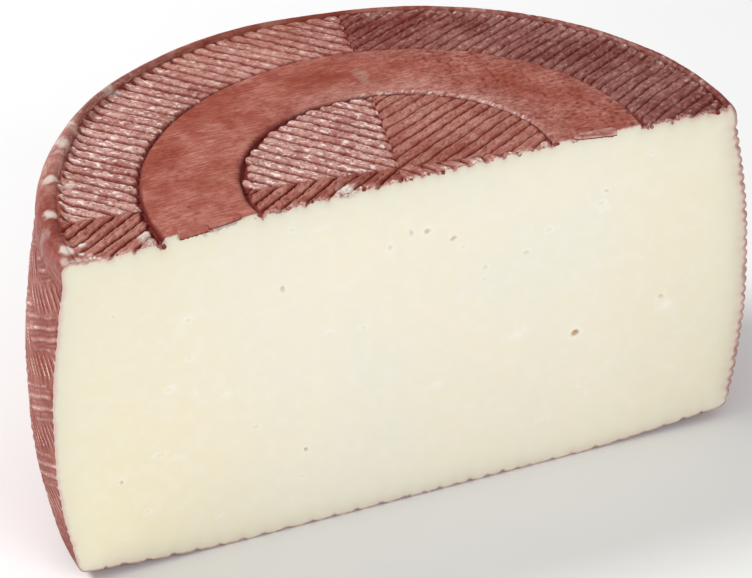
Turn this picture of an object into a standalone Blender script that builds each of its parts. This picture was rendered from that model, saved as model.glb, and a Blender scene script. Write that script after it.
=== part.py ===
"""Half a wheel of wine-soaked goat's milk cheese, modelled as one solid.

The cut face looks along -Y, the longest side runs along X, and the wheel stands on its base
with +Z up. The crust keeps the prints of its mould: straight ridges in chevrons on the top, a
bare raised band between them, and plaited straw round the side.
"""

import math
import random

import bmesh
import bpy
from mathutils import Matrix, Vector

MM = 0.001

# The wheel
HEIGHT = 88.4 * MM
WIDEST_RADIUS = 88.7 * MM
WIDEST_AT = 40 * MM
DRAW_IN_TOP = 5.8 * MM
DRAW_IN_BASE = 5.5 * MM
LEAN = 2.6 * MM
AXIS_BEHIND_CUT = 5.2 * MM
OUT_OF_ROUND = 0.35 * MM
# Swells of the side: how many in a turn, their share of OUT_OF_ROUND, and where they start
SWELLS = ((2, 1.0, 0.7), (5, 0.6, 2.1))

# Top face
DOME = 1.6 * MM
DOME_RADIUS = 79 * MM
RIM_INNER = 79 * MM
BAND_OUTER = 60.2 * MM
BAND_INNER = 36.8 * MM
BAND_EDGE = 0.5 * MM
RIDGES_BELOW_BAND = 0.8 * MM
RIDGE_HEIGHT = 1.35 * MM
RIDGE_HALF_WIDTH = 1.9 * MM
RIDGE_SIDES = 6
RIDGE_STEP = 13 * MM
RIDGE_WANDER = 0.18 * MM
RIDGE_WAVE = 31 * MM
RIDGE_ROOT = 1.3 * MM
SHORTEST_RIDGE = 1.5 * MM
MITRE_TURN = math.radians(-10)

# Each quarter of the top has its own ridge direction and pitch
RIDGE_QUARTERS = {
    "back_left": (math.radians(-53), 3.25 * MM),
    "back_right": (math.radians(29), 3.2 * MM),
    "front_left": (math.radians(34), 3.31 * MM),
    "front_right": (math.radians(-53), 3.25 * MM),
}

# Rounded rim, as a quarter of an ellipse
RIM_CENTRE = (80.6 * MM, 82.5 * MM)
RIM_RADII = (4.1 * MM, 4.5 * MM)
RIM_ARC_POINTS = 5

# Base
BASE_FLAT_RADIUS = 46 * MM
BASE_RISE = 2.6 * MM
BASE_RISE_POWER = 1.3
BASE_RISE_POINTS = 4
FOOT_CENTRE = (82.1 * MM, 4.8 * MM)
FOOT_RADIUS = 2.2 * MM
FOOT_ARC_POINTS = 3

# Straw print on the side
WEAVE_TOP = 79.7 * MM
WEAVE_ROWS = 9
WEAVE_ROW_HEIGHT = 8.3 * MM
WEAVE_ROW_STEPS = 3
WEAVE_RELIEF = 0.5 * MM
WEAVE_SLOPES = (math.radians(18.5), math.radians(-24.5))
STRANDS = 88

# Flakes of crust that stand over the cut: place along X, length, overhang, thickness
FLAKES = (
    (-54.0 * MM, 8 * MM, 2.2 * MM, 0.9 * MM),
    (-45.5 * MM, 11 * MM, 1.2 * MM, 0.9 * MM),
    (46.0 * MM, 10 * MM, 1.2 * MM, 0.8 * MM),
)
FLAKE_SEGMENTS = 10
FLAKE_RINGS = 6

# How far the ridges are made past the cut, and how finely their lines are walked
PAST_CUT = 10 * MM
LINE_STEP = 0.25 * MM

SEED = 7
WELD = 0.00001
RIND_COLOUR = (0.42, 0.15, 0.12, 1)
PASTE_COLOUR = (0.86, 0.8, 0.62, 1)


def clear_scene():
    for old in list(bpy.data.objects):
        bpy.data.objects.remove(old, do_unlink=True)


def make_material(name, colour, roughness):
    material = bpy.data.materials.new(name)
    material.use_nodes = True
    shader = material.node_tree.nodes["Principled BSDF"]
    shader.inputs["Base Color"].default_value = colour
    shader.inputs["Roughness"].default_value = roughness
    return material


def side_radius(height):
    """The smooth radius of the side, widest a little below half height."""
    if height > WIDEST_AT:
        share = (height - WIDEST_AT) / (HEIGHT - WIDEST_AT)
        return WIDEST_RADIUS - DRAW_IN_TOP * share**2
    share = (WIDEST_AT - height) / WIDEST_AT
    return WIDEST_RADIUS - DRAW_IN_BASE * share**2


def top_height(radius):
    """The height of the band and of anything level with it."""
    return HEIGHT - DOME * (radius / DOME_RADIUS) ** 2


def ridge_floor(radius):
    return top_height(radius) - RIDGES_BELOW_BAND - RIDGE_HEIGHT


def base_height(radius):
    if radius <= BASE_FLAT_RADIUS:
        return 0.0
    share = (radius - BASE_FLAT_RADIUS) / (FOOT_CENTRE[0] - BASE_FLAT_RADIUS)
    return BASE_RISE * share**BASE_RISE_POWER


def out_of_round(angle):
    """A soft swelling of the side, as of a cheese pressed and turned by hand."""
    waves = [share * math.sin(count * angle + start) for count, share, start in SWELLS]
    return OUT_OF_ROUND * sum(waves)


def top_profile():
    """Radius and height from the middle of the top out to the rim."""
    points = [
        (0, ridge_floor(0)),
        (BAND_INNER - BAND_EDGE, ridge_floor(BAND_INNER)),
        (BAND_INNER, top_height(BAND_INNER) - BAND_EDGE),
        (BAND_INNER + 2 * BAND_EDGE, top_height(BAND_INNER)),
        ((BAND_INNER + BAND_OUTER) / 2, top_height((BAND_INNER + BAND_OUTER) / 2)),
        (BAND_OUTER - 2 * BAND_EDGE, top_height(BAND_OUTER)),
        (BAND_OUTER, top_height(BAND_OUTER) - BAND_EDGE),
        (BAND_OUTER + BAND_EDGE, ridge_floor(BAND_OUTER)),
        (RIM_INNER - BAND_EDGE, ridge_floor(RIM_INNER)),
        (RIM_INNER, RIM_CENTRE[1] + RIM_RADII[1] - BAND_EDGE),
    ]
    for step in range(RIM_ARC_POINTS):
        turn = math.pi / 2 * (1 - step / (RIM_ARC_POINTS - 1))
        radius = RIM_CENTRE[0] + RIM_RADII[0] * math.cos(turn)
        points.append((radius, RIM_CENTRE[1] + RIM_RADII[1] * math.sin(turn)))
    return points


def side_profile():
    """Radius and height down the side, with a few rings in every row of the straw print."""
    rings = WEAVE_ROWS * WEAVE_ROW_STEPS
    heights = [WEAVE_TOP - WEAVE_ROWS * WEAVE_ROW_HEIGHT * step / rings for step in range(rings + 1)]
    return [(side_radius(height), height) for height in heights]


def base_profile():
    """Radius and height from the foot of the side in to the middle of the base."""
    points = []
    for step in range(FOOT_ARC_POINTS):
        turn = -math.pi / 2 * step / (FOOT_ARC_POINTS - 1)
        radius = FOOT_CENTRE[0] + FOOT_RADIUS * math.cos(turn)
        points.append((radius, FOOT_CENTRE[1] + FOOT_RADIUS * math.sin(turn)))
    for step in range(1, BASE_RISE_POINTS + 1):
        radius = FOOT_CENTRE[0] + (BASE_FLAT_RADIUS - FOOT_CENTRE[0]) * step / BASE_RISE_POINTS
        points.append((radius, base_height(radius)))
    points.append((0, 0))
    return points


def turned(name, profile, steps):
    """The surface that the profile sweeps round the wheel's axis, as a plain mesh."""
    mesh = bpy.data.meshes.new(name)
    corners = [(radius, 0, height) for radius, height in profile]
    mesh.from_pydata(corners, [(i, i + 1) for i in range(len(corners) - 1)], [])
    outline = bpy.data.objects.new(name, mesh)
    bpy.context.scene.collection.objects.link(outline)
    screw = outline.modifiers.new("Turn", "SCREW")
    screw.angle = 2 * math.pi
    screw.steps = steps
    screw.render_steps = steps
    screw.use_merge_vertices = True
    screw.merge_threshold = WELD
    graph = bpy.context.evaluated_depsgraph_get()
    swept = bpy.data.meshes.new_from_object(outline.evaluated_get(graph))
    bpy.data.objects.remove(outline)
    return swept


def weave_row(height):
    """The row of the straw print at this height, and how far down the row it is, 0 to 1."""
    down = (WEAVE_TOP - height) / WEAVE_ROW_HEIGHT
    row = min(int(down + WELD), WEAVE_ROWS - 1)
    return row, down - row


def strand_shift(height):
    """How far along the side, clockwise from above, a strand has run at this height."""
    row, share = weave_row(height)
    runs = [WEAVE_ROW_HEIGHT / math.tan(slope) for slope in WEAVE_SLOPES]
    whole = sum(runs[done % 2] for done in range(row))
    return -(whole + share * runs[row % 2])


def press_straw(mesh):
    """Slants the columns of the side row by row, with every second one pressed in."""
    column_angle = math.pi / STRANDS
    foot = WEAVE_TOP - WEAVE_ROWS * WEAVE_ROW_HEIGHT
    for vertex in mesh.vertices:
        angle = math.atan2(vertex.co.y, vertex.co.x)
        column = round(angle / column_angle)
        height = vertex.co.z
        radius = side_radius(height)
        at_an_end = height > WEAVE_TOP - WELD or height < foot + WELD
        if not at_an_end:
            radius += WEAVE_RELIEF / 2 * (1 if column % 2 else -1)
        angle -= strand_shift(height) / WIDEST_RADIUS
        vertex.co.x = radius * math.cos(angle)
        vertex.co.y = radius * math.sin(angle)


def border_near(mesh, height):
    """The open edges of the mesh whose ends lie at this height."""
    return [
        edge
        for edge in mesh.edges
        if edge.is_boundary and all(abs(v.co.z - height) < WELD for v in edge.verts)
    ]


def make_wheel():
    """The whole wheel with its side printed, its ridge zones sunk and still bare."""
    wheel = bmesh.new()
    side = turned("side", side_profile(), 2 * STRANDS)
    press_straw(side)
    wheel.from_mesh(side)
    wheel.from_mesh(turned("top", top_profile(), STRANDS))
    wheel.from_mesh(turned("base", base_profile(), STRANDS))
    weave_foot = WEAVE_TOP - WEAVE_ROWS * WEAVE_ROW_HEIGHT
    for upper, lower in ((RIM_CENTRE[1], WEAVE_TOP), (weave_foot, FOOT_CENTRE[1])):
        edges = border_near(wheel, upper) + border_near(wheel, lower)
        bmesh.ops.bridge_loops(wheel, edges=edges)
    bmesh.ops.recalc_face_normals(wheel, faces=wheel.faces)
    bmesh.ops.triangulate(wheel, faces=wheel.faces, quad_method="SHORT_EDGE")
    return wheel


def quarter_of(point):
    """The quarter of the top that a point lies in, split by the two mitre lines."""
    turned_point = Matrix.Rotation(-MITRE_TURN, 2) @ point
    depth = "back" if turned_point.y > 0 else "front"
    side = "left" if turned_point.x < 0 else "right"
    return f"{depth}_{side}"


def ridge_runs(quarter, zone):
    """The stretches of every ridge line of a quarter that lie in a ring of the top."""
    direction, pitch = RIDGE_QUARTERS[quarter]
    along = Vector((math.cos(direction), math.sin(direction)))
    across = Vector((-along.y, along.x))
    inner, outer = zone
    reach = int(outer / LINE_STEP) + 1
    for line in range(-int(outer / pitch) - 1, int(outer / pitch) + 1):
        start = None
        offset = (line + 0.5) * pitch
        for step in range(-reach, reach + 1):
            place = step * LINE_STEP
            point = along * place + across * offset
            inside = inner < point.length < outer and point.y > -AXIS_BEHIND_CUT - PAST_CUT
            inside = inside and quarter_of(point) == quarter
            if inside and start is None:
                start = place
            if start is not None and not inside:
                if place - start > SHORTEST_RIDGE:
                    yield start, place, offset, direction
                start = None


def make_ridge(start, end, offset, direction, chance):
    """One rounded ridge: a six-sided bar, cut into steps that wander a little."""
    length = end - start + 2 * RIDGE_ROOT
    bar = bmesh.new()
    bmesh.ops.create_cone(
        bar,
        cap_ends=True,
        segments=RIDGE_SIDES,
        radius1=RIDGE_HALF_WIDTH,
        radius2=RIDGE_HALF_WIDTH,
        depth=length,
    )
    flatten = RIDGE_HEIGHT / (RIDGE_HALF_WIDTH * math.sin(math.pi / 3))
    lying = Matrix.Rotation(math.pi / 2, 4, "Y") @ Matrix.Rotation(math.pi / 2, 4, "Z")
    bmesh.ops.transform(bar, matrix=Matrix.Diagonal((1, 1, flatten, 1)) @ lying, verts=bar.verts)
    bmesh.ops.translate(bar, vec=((start + end) / 2, offset, 0), verts=bar.verts)
    pieces = max(1, round(length / RIDGE_STEP))
    for piece in range(1, pieces):
        place = start - RIDGE_ROOT + length * piece / pieces
        everything = list(bar.verts) + list(bar.edges) + list(bar.faces)
        bmesh.ops.bisect_plane(bar, geom=everything, plane_co=(place, 0, 0), plane_no=(1, 0, 0))
    phase = chance.uniform(0, 2 * math.pi)
    for corner in bar.verts:
        corner.co.y += RIDGE_WANDER * math.sin(2 * math.pi * corner.co.x / RIDGE_WAVE + phase)
    bmesh.ops.rotate(bar, matrix=Matrix.Rotation(direction, 3, "Z"), verts=bar.verts)
    for corner in bar.verts:
        corner.co.z += ridge_floor(math.hypot(corner.co.x, corner.co.y))
    return bar


def make_flake(place, length, overhang, thickness):
    """A curled scrap of crust: a flattened ball half sunk in the top edge of the cut."""
    flake = bmesh.new()
    bmesh.ops.create_uvsphere(flake, u_segments=FLAKE_SEGMENTS, v_segments=FLAKE_RINGS, radius=1)
    size = Matrix.Diagonal((length / 2, 2 * overhang, thickness, 1))
    bmesh.ops.transform(flake, matrix=size, verts=flake.verts)
    height = top_height(abs(place)) - thickness
    bmesh.ops.translate(flake, vec=(place, -AXIS_BEHIND_CUT + overhang, height), verts=flake.verts)
    return flake


def as_object(name, shape, collection):
    mesh = bpy.data.meshes.new(name)
    shape.to_mesh(mesh)
    shape.free()
    made = bpy.data.objects.new(name, mesh)
    collection.objects.link(made)
    return made


def fuse(body, scraps):
    """Joins everything in the collection to the body, then removes what was joined."""
    union = body.modifiers.new("Fuse", "BOOLEAN")
    union.operation = "UNION"
    union.solver = "EXACT"
    union.operand_type = "COLLECTION"
    union.collection = scraps
    graph = bpy.context.evaluated_depsgraph_get()
    fused = bpy.data.meshes.new_from_object(body.evaluated_get(graph))
    body.modifiers.clear()
    body.data = fused
    for scrap in list(scraps.objects):
        bpy.data.objects.remove(scrap)


def cut_in_half(body):
    """Keeps what lies behind the knife, and closes the cut with one flat face."""
    shape = bmesh.new()
    shape.from_mesh(body.data)
    everything = list(shape.verts) + list(shape.edges) + list(shape.faces)
    bmesh.ops.bisect_plane(
        shape,
        geom=everything,
        dist=WELD,
        plane_co=(0, -AXIS_BEHIND_CUT, 0),
        plane_no=(0, -1, 0),
        clear_outer=True,
    )
    rim = [edge for edge in shape.edges if edge.is_boundary]
    filled = bmesh.ops.holes_fill(shape, edges=rim, sides=0)
    for face in filled["faces"]:
        face.material_index = 1
    bmesh.ops.triangulate(shape, faces=shape.faces)
    bmesh.ops.recalc_face_normals(shape, faces=shape.faces)
    shape.to_mesh(body.data)
    shape.free()


def settle(body):
    """Swells and leans the cheese, then puts the middle of its base box at the origin."""
    for vertex in body.data.vertices:
        angle = math.atan2(vertex.co.y, vertex.co.x)
        radius = math.hypot(vertex.co.x, vertex.co.y)
        swell = out_of_round(angle) * (radius / WIDEST_RADIUS) ** 2
        if vertex.co.y > -AXIS_BEHIND_CUT + WELD:
            vertex.co.y += swell * math.sin(angle)
        vertex.co.x += swell * math.cos(angle) + LEAN * vertex.co.z / HEIGHT
    xs = [vertex.co.x for vertex in body.data.vertices]
    ys = [vertex.co.y for vertex in body.data.vertices]
    middle = Vector(((min(xs) + max(xs)) / 2, (min(ys) + max(ys)) / 2, 0))
    body.data.transform(Matrix.Translation(-middle))


def main():
    clear_scene()
    chance = random.Random(SEED)
    product = bpy.data.collections.new("goat_cheese_half")
    scraps = bpy.data.collections.new("ridges_and_flakes")
    for collection in (product, scraps):
        bpy.context.scene.collection.children.link(collection)
    cheese = as_object("cheese", make_wheel(), product)
    for quarter in RIDGE_QUARTERS:
        for zone in ((0, BAND_INNER), (BAND_OUTER, RIM_INNER)):
            for run in ridge_runs(quarter, zone):
                as_object("ridge", make_ridge(*run, chance), scraps)
    fuse(cheese, scraps)
    cut_in_half(cheese)
    for flake in FLAKES:
        as_object("flake", make_flake(*flake), scraps)
    fuse(cheese, scraps)
    settle(cheese)
    cheese.data.materials.append(make_material("rind", RIND_COLOUR, 0.6))
    cheese.data.materials.append(make_material("paste", PASTE_COLOUR, 0.5))
    bpy.data.collections.remove(scraps)


main()
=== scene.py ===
"""Half a wheel of wine-soaked goat's milk cheese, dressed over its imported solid.

The crust keeps the prints of its mould: ridges in chevrons on the top and the base, a bare raised
band between two ridged zones, and plaited straw round the side. The flat cut shows ivory paste with
small eyes. Shapes are worked out in millimetres about the wheel's own axis, and `place` then stands
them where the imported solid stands, in metres.
"""

import collections
import contextlib
import math

import bpy
import numpy as np
from bpy.props import FloatProperty, FloatVectorProperty, PointerProperty
from mathutils import Matrix, Vector
from mathutils.kdtree import KDTree


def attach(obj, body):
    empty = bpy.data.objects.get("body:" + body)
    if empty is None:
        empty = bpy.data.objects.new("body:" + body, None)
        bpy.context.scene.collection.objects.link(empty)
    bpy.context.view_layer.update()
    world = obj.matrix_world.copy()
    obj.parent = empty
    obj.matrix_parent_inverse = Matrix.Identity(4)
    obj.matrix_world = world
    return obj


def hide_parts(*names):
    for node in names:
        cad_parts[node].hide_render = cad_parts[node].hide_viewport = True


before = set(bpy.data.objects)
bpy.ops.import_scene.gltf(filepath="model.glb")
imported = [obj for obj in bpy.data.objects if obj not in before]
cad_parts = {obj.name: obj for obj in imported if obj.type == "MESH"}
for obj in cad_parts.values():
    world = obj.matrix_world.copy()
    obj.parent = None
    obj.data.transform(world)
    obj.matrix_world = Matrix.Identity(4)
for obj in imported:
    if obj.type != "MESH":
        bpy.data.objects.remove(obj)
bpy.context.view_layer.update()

bl_info = {
    "name": "Goat cheese half wheel",
    "version": (1, 0, 0),
    "blender": (4, 5, 0),
    "location": "View3D > Sidebar > Cheese",
    "description": "Models the printed crust, the paste and the loose scraps of a cut wheel",
    "category": "Object",
}

CAD_NODE = "cheese"
BODY = "root"
MM = 0.001

# The wheel, in millimetres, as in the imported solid
HEIGHT = 88.4
WIDEST_RADIUS = 88.7
WIDEST_AT = 40.0
DRAW_IN_TOP = 5.8
DRAW_IN_BASE = 5.5
LEAN = 2.6
CUT = -5.2
OUT_OF_ROUND = 0.35
SWELLS = ((2, 1.0, 0.7), (5, 0.6, 2.1))
SWELL_FADE = 2.0
DOME = 1.6
DOME_RADIUS = 79.0
BAND_INNER = 36.8
BAND_OUTER = 60.2
BAND_MIDDLE = 48
BAND_EDGE = 0.9
BAND_SHOULDER = (1.7, 1.1)
BAND_INNER_FOOT = 84.6
BAND_OUTER_FOOT = 83.9
RIM_INNER = 79.0
RIM_CENTRE = (80.6, 82.5)
RIM_RADII = (4.1, 4.5)
BASE_FLAT_RADIUS = 46.0
BASE_RISE = 2.6
BASE_RISE_POWER = 1.3
FOOT_CENTRE = (82.1, 4.8)
FOOT_RADIUS = 2.2
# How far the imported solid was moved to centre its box
MIDDLE = (1.367, 40.601)

# Crust pieces end this far behind the face of the cut
BEHIND_FACE = 0.05
# How far a ridged sheet goes in under its neighbours, and how far out past its zone its ground is first laid
UNDERLAP = 0.6
PAST_RIM = 3.4
PAST_BAND = 1.6
# Edges sharper than this stay sharp, in degrees
SHARP = 65
FLAP_THICKNESS = 0.4

# Seams between the quarters of the top: direction in degrees, and how far east of the axis it passes
SEAM_RIGHT = (-10, 0)
SEAM_BACK = (78, 0.25)
SEAM_LEFT = (170, 0)
SEAM_FRONT = (260, 0)
# Quarters of the top: seams, ridge direction in degrees, pitch and fan, unevenness, bloom with painted
# sheen, and ridge form
Quarter = collections.namedtuple(
    "Quarter", "start end tips direction pitch fan seed wander lumps pits fibres bloom rim_moat width flat"
)
QUARTERS = {
    "back_right": Quarter(
        SEAM_RIGHT, SEAM_BACK, "end", 30.3, 3.49, 0.0016, 11, 0.34, 0.21, 0.26, 0.05, 0.10, 0.0, 0.96, 3.4
    ),
    "back_left": Quarter(
        SEAM_BACK, SEAM_LEFT, "start", -53, 3.25, 0, 23, 0.36, 0.13, 0.36, 0.06, 0.72, 0.05, 0.80, 3.6
    ),
    "front_left": Quarter(
        SEAM_LEFT, SEAM_FRONT, "", 34, 3.31, 0, 37, 0.32, 0.20, 0.38, 0.16, 0.17, 0.35, 0.90, 3.6
    ),
    "front_right": Quarter(
        SEAM_FRONT, SEAM_RIGHT, "", -53, 3.25, 0, 23, 0.36, 0.20, 0.28, 0.14, 0.34, 0.4, 0.88, 3.0
    ),
}
# Ridged pieces: name, inner and outer radius, floor, depth of the lip (the base's goes up), and mesh cell
RIDGED_ZONES = (
    ("crust_disc", (0, BAND_INNER), 84.9, 0.12, (0.30, 0.13)),
    ("crust_ring", (BAND_OUTER, RIM_INNER), 83.6, 0.12, (0.42, 0.15)),
)
BASE_ZONE = ("crust_base", (0, FOOT_CENTRE[0] - 1.6), 3.6, -0.12, (0.8, 0.32))
# Far past the base's edge, so that its ridges run out under the side
BASE_REACH = 200
RIDGE_TIP = 1.3
LEDGE_LEVEL = 86.15

# Straw print on the side: blocks of three strands that lie across blocks of steeper ones
WEAVE_TOP = 79.8
WEAVE_FOOT = 5.0
STRAND = 3.05
BLOCK_STRANDS = 3
BLOCK_LENGTH = 25.0
BLOCK_SLANT = 10.0
FLAT_SLOPE = math.radians(28)
STEEP_SLOPE = math.radians(-24.5)
WEAVE_ANCHOR = (math.radians(183.4), 73.6)
BLOCK_EDGE = math.radians(169.5)
SIDE_STEP = 0.42
# The side is finer where the camera sees it: angles in degrees and columns
SIDE_COLUMNS = ((-5, 150, 245), (150, 185, 160))
CRUST_DEPTH = 1.5
# The side's profile beside the rim and the straw print, as (radius, height): the rim's inner edge and lip,
# where the rim's brow ends, the rings under the foot, and the way back up inside
RIM_EDGE = ((78.9, 84.0), (79.0, 86.2))
RIM_LIP = ((80.6, 85.6), (1.6, 1.4))
BROW_END = 79.7
FOOT_RINGS = (81.2, 80.2, 79.0, 77.8)
FOOT_BACK = [(77.8, 3.8), (81.0, 5.6)]
BACK_HEIGHTS = (8, 20, 32, 44, 56, 68, 78)
RIM_BACK = [(82.4, 82.4), (78.9, 83.2)]
# Height of the scallops that the straw leaves along the right edge of the cut
BEAD = 2.6

# Dried whey on the crust: east and north of the axis, reach each way, and strength
WHEY_SPOTS = (
    (-66.4, 47.2, 1.8, 2.8, 0.6), (-61.8, 54, 1.2, 2.4, 0.5), (-74.6, 32.5, 2.1, 1.6, 0.72),
    (-71.4, 29.9, 2.2, 1, 0.6), (-79.7, 17.3, 1.6, 2, 0.75), (-81.3, 0.7, 1.6, 2.3, 0.85),
    (-83.1, 10.9, 1, 2.6, 0.2), (-83, -3.6, 0.9, 2, 0.45), (-77.1, 2.2, 0.9, 1.2, 1),
    (-78.7, -1.6, 0.8, 1.1, 0.9), (-77, -3.2, 0.8, 0.9, 0.5), (-63.1, -1.6, 1.6, 2.6, 0.8),
    (-47.2, 66.8, 2.9, 1.4, 0.42), (-14.6, -4, 2.3, 2.3, 1), (18.5, -4.4, 0.8, 0.9, 0.8),
    (35.2, -4.2, 0.9, 1.1, 0.7), (-80.2, -4.6, 2.8, 0.9, 0.5), (9.3, 46.1, 1.7, 4.6, 0.14),
)

# Eyes of the cut: place along X from the axis, height, half width, half height, tilt, depth, stain
EYES = (
    (-29.5, 66.4, 0.55, 0.8, 20, 0.6, 0.7), (-52.9, 64.3, 0.6, 0.45, 0, 0.4, 0.3),
    (7.1, 72.5, 0.75, 0.55, 10, 0.5, 0.8), (3, 73, 0.45, 0.9, 15, 0.6, 0.5),
    (-2.4, 70.4, 0.5, 0.7, -10, 0.5, 0.4), (13.6, 68.9, 0.9, 0.4, 25, 0.6, 0.8),
    (15.8, 66, 0.5, 0.5, 0, 0.4, 0.3), (53, 71.8, 0.55, 0.4, 0, 0.5, 0.5),
    (51.5, 68.6, 0.95, 0.4, 5, 0.4, 0.4), (38, 64.9, 0.6, 0.45, 0, 0.4, 0.4),
    (32.1, 60.1, 0.6, 0.55, 0, 0.5, 0.5), (21.4, 58.9, 0.6, 0.5, 30, 0.5, 0.4),
    (21.1, 55.8, 0.4, 0.5, 0, 0.4, 0.3), (-10.1, 50.8, 0.5, 0.5, 0, 0.4, 0.2),
    (-18.6, 51.4, 0.6, 0.35, 0, 0.3, 0.2), (44.3, 34.6, 0.88, 0.68, 20, 1.1, 1),
    (67.1, 38.9, 0.7, 0.55, 0, 0.6, 0.5), (-38, 30.8, 0.7, 0.4, 10, 0.5, 0.3),
    (-72, 24.9, 0.45, 0.45, 0, 0.6, 0.6), (-25.9, 21.1, 0.46, 0.46, 0, 1.5, 0.6),
    (-58.9, 47, 0.8, 0.5, 0, 0.4, 0.2), (-62, 29.8, 0.9, 0.4, 5, 0.4, 0.2),
    (-27.4, 13.9, 0.5, 0.4, 0, 0.4, 0.2), (-48.6, 9.3, 0.6, 0.45, 0, 0.4, 0.2),
    (-66.1, 15, 0.5, 0.4, 0, 0.5, 0.3), (45.5, 19.5, 0.7, 0.4, 0, 0.4, 0.2),
    (-15.4, 62.9, 0.45, 0.35, 0, 0.4, 0.2), (-53.3, 54.1, 0.5, 0.5, 0, 0.3, 0.2),
    (-70.9, 70, 0.5, 0.4, 0, 0.4, 0.2), (-26.4, 81.4, 0.55, 0.45, 0, 0.4, 0.2),
    (64.9, 78.9, 0.5, 0.35, 0, 0.3, 0.2),
)
# Pale smears that the knife left: place along X, height, half width, half height, tilt
SMEARS = (
    (-43.9, 41.8, 4, 1.2, 15), (29.3, 38.3, 4.5, 1.5, 25), (53, 67, 2.6, 0.7, 10), (68, 36.5, 2, 2, 0),
    (-59, 27, 3, 1.6, 20), (46.5, 17.8, 2.6, 1.2, -15), (-53, 44, 2, 1, 0), (35, 12.6, 2.4, 0.8, 5),
    (-20, 80, 3, 0.8, 0), (7, 30, 2.6, 1.2, 0), (82, 3.4, 3.3, 1.1, 5),
)

# Flaps of crust bent over the cut: ends along X from the axis, drop at each end, lift, raggedness, strength
# of the painted highlight
FLAPS = (
    ("flap_tongue", -56.2, -49.3, 1.45, 1.15, 0.0, 1.0, 0.0),
    ("flap_edge", -48.9, -41.0, 0.75, 0.10, 0.15, 1.0, 0.0),
    ("flap_lip", 42.3, 53.0, 0.20, 1.35, 0.0, 0.55, 1.0),
)
# Crumbs at the top edge that show singly: place along X, rise over the edge, radius, and tone
EDGE_CRUMBS = (
    (-23.7, 0, 0.42, "dark"), (-29.6, -0.2, 0.5, "plain"), (-30.4, -0.5, 0.3, "pale"),
    (-10.8, -0.1, 0.45, "dark"), (-11.5, 0.3, 0.3, "white"), (1, -0.2, 0.5, "plain"),
    (0.1, 0.1, 0.3, "pale"), (5.4, -0.1, 0.42, "plain"), (4.6, 0.2, 0.26, "white"), (9, -0.4, 0.46, "dark"),
    (8.1, 0, 0.3, "pale"), (37.7, -0.2, 0.6, "dark"), (37, 0.2, 0.4, "plain"), (-60.2, -0.2, 0.6, "dark"),
    (-61.2, 0.1, 0.45, "plain"), (-60.8, -0.5, 0.3, "pale"), (-36.6, 0, 0.5, "dark"),
    (79.6, -0.1, 0.5, "dark"), (78.6, 0, 0.4, "plain"), (69, 0, 0.5, "plain"), (69.9, 0.1, 0.36, "pale"),
    (62.4, -0.3, 0.55, "plain"), (61.4, -0.1, 0.45, "plain"), (-48.7, -0.8, 0.34, "white"),
    (-47.9, -0.6, 0.42, "pale"), (-49.4, -1.1, 0.6, "plain"), (-48.4, -1.2, 0.5, "pale"),
    (-47, -0.7, 0.42, "plain"), (-46.1, -0.5, 0.36, "pale"), (-44.9, -0.35, 0.38, "plain"),
    (-43.8, -0.3, 0.32, "pale"), (-77.6, 0.4, 0.5, "white"), (-76.8, 0.2, 0.42, "pale"),
    (-64, 0, 0.4, "white"), (-62.9, 0.1, 0.36, "white"), (42.2, -0.55, 0.5, "pale"),
    (43.2, -0.45, 0.58, "pale"), (44.2, -0.2, 0.46, "plain"), (-16.4, -0.25, 0.5, "white"),
    (-15.4, -0.5, 0.55, "white"), (-14.4, -0.45, 0.6, "white"), (-13.5, -0.3, 0.5, "white"),
    (-12.8, -0.05, 0.4, "white"), (-15, -0.95, 0.3, "white"),
)
LOOSE_CRUMBS = 60
# Crest, bloom with painted sheen, and whey of each tone of crumb
CRUMB_TONES = {"dark": (0.34, 0, 0), "plain": (0.8, 0.1, 0), "pale": (1, 0.8, 0), "white": (1, 0.4, 0.9)}

# The cut face, and how the paste goes back from it: step back, and what width and height are drawn in by
OUTLINE_STEP = 0.05
FACE_SIZE = (172, 84)
STAIN_AT = (-44.4, 86.8)
PASTE_MIDDLE = 42
PASTE_STEPS = (
    (0.3, 1, 1), (0.9, 0.972, 0.93), (12, 0.985, 1), (14, 0.965, 1), (16, 0.92, 1), (16, 0.85, 1),
    (14, 0.74, 1), (9, 0.60, 0.99), (5, 0.45, 0.98),
)

# Finishes of the crust: pebbles, fibres, relief in millimetres, lightness of the wine, and pale streaks
CRUST_FINISHES = {
    "ridged_crust": (0.8, 0.8, 0.36, 1, 0.15),
    "bare_crust": (1, 0.8, 0.36, 1.08, 0.4),
    "straw_crust": (0.6, 0.6, 0.24, 0.88, 0.4),
    "base_crust": (0.5, 0.6, 0.18, 1, 1),
}

# The camera, in millimetres from the foot of the cut under the axis, and degrees
CAMERA_TURN = -21.08
CAMERA_RISE = 31.01
CAMERA_ROLL = -2.51
CAMERA_AWAY = 1051.5
CAMERA_TARGET = (-6.33, 0.0, 60.31)
# Focal length and picture width in the photograph's pixels, and the sensor in millimetres
CAMERA_FOCAL = 4500
PHOTO_WIDTH = 752
SENSOR = 36
# Nearest and furthest that the camera sees, in metres
CAMERA_CLIP = (0.05, 20)

# The stage, in metres: width of the floor, and each lamp's place, target and size
FLOOR_WIDTH = 8
KEY_LAMP = ((-0.75, 0.45, 0.8), (0, 0, 0.05), 0.35)
FILL_LAMP = ((0.3, -1.1, 0.5), (0, 0, 0.03), 0.8)

NOISE_CELLS = 128


class WheelSizes(bpy.types.PropertyGroup):
    ridge_height: FloatProperty(
        name="Ridge height", description="Height of the top's ridges over their grooves",
        default=0.00100, min=0, unit="LENGTH",
    )
    straw_relief: FloatProperty(
        name="Straw relief", description="Depth of the straw print on the side",
        default=0.00050, min=0, unit="LENGTH",
    )
    band_swell: FloatProperty(
        name="Band unevenness", description="Rise and fall of the bare band",
        default=0.00016, min=0, unit="LENGTH",
    )
    rind_line: FloatProperty(
        name="Rind line", description="Thickness of the rind where the knife went through it",
        default=0.0007, min=0, unit="LENGTH",
    )


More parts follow.
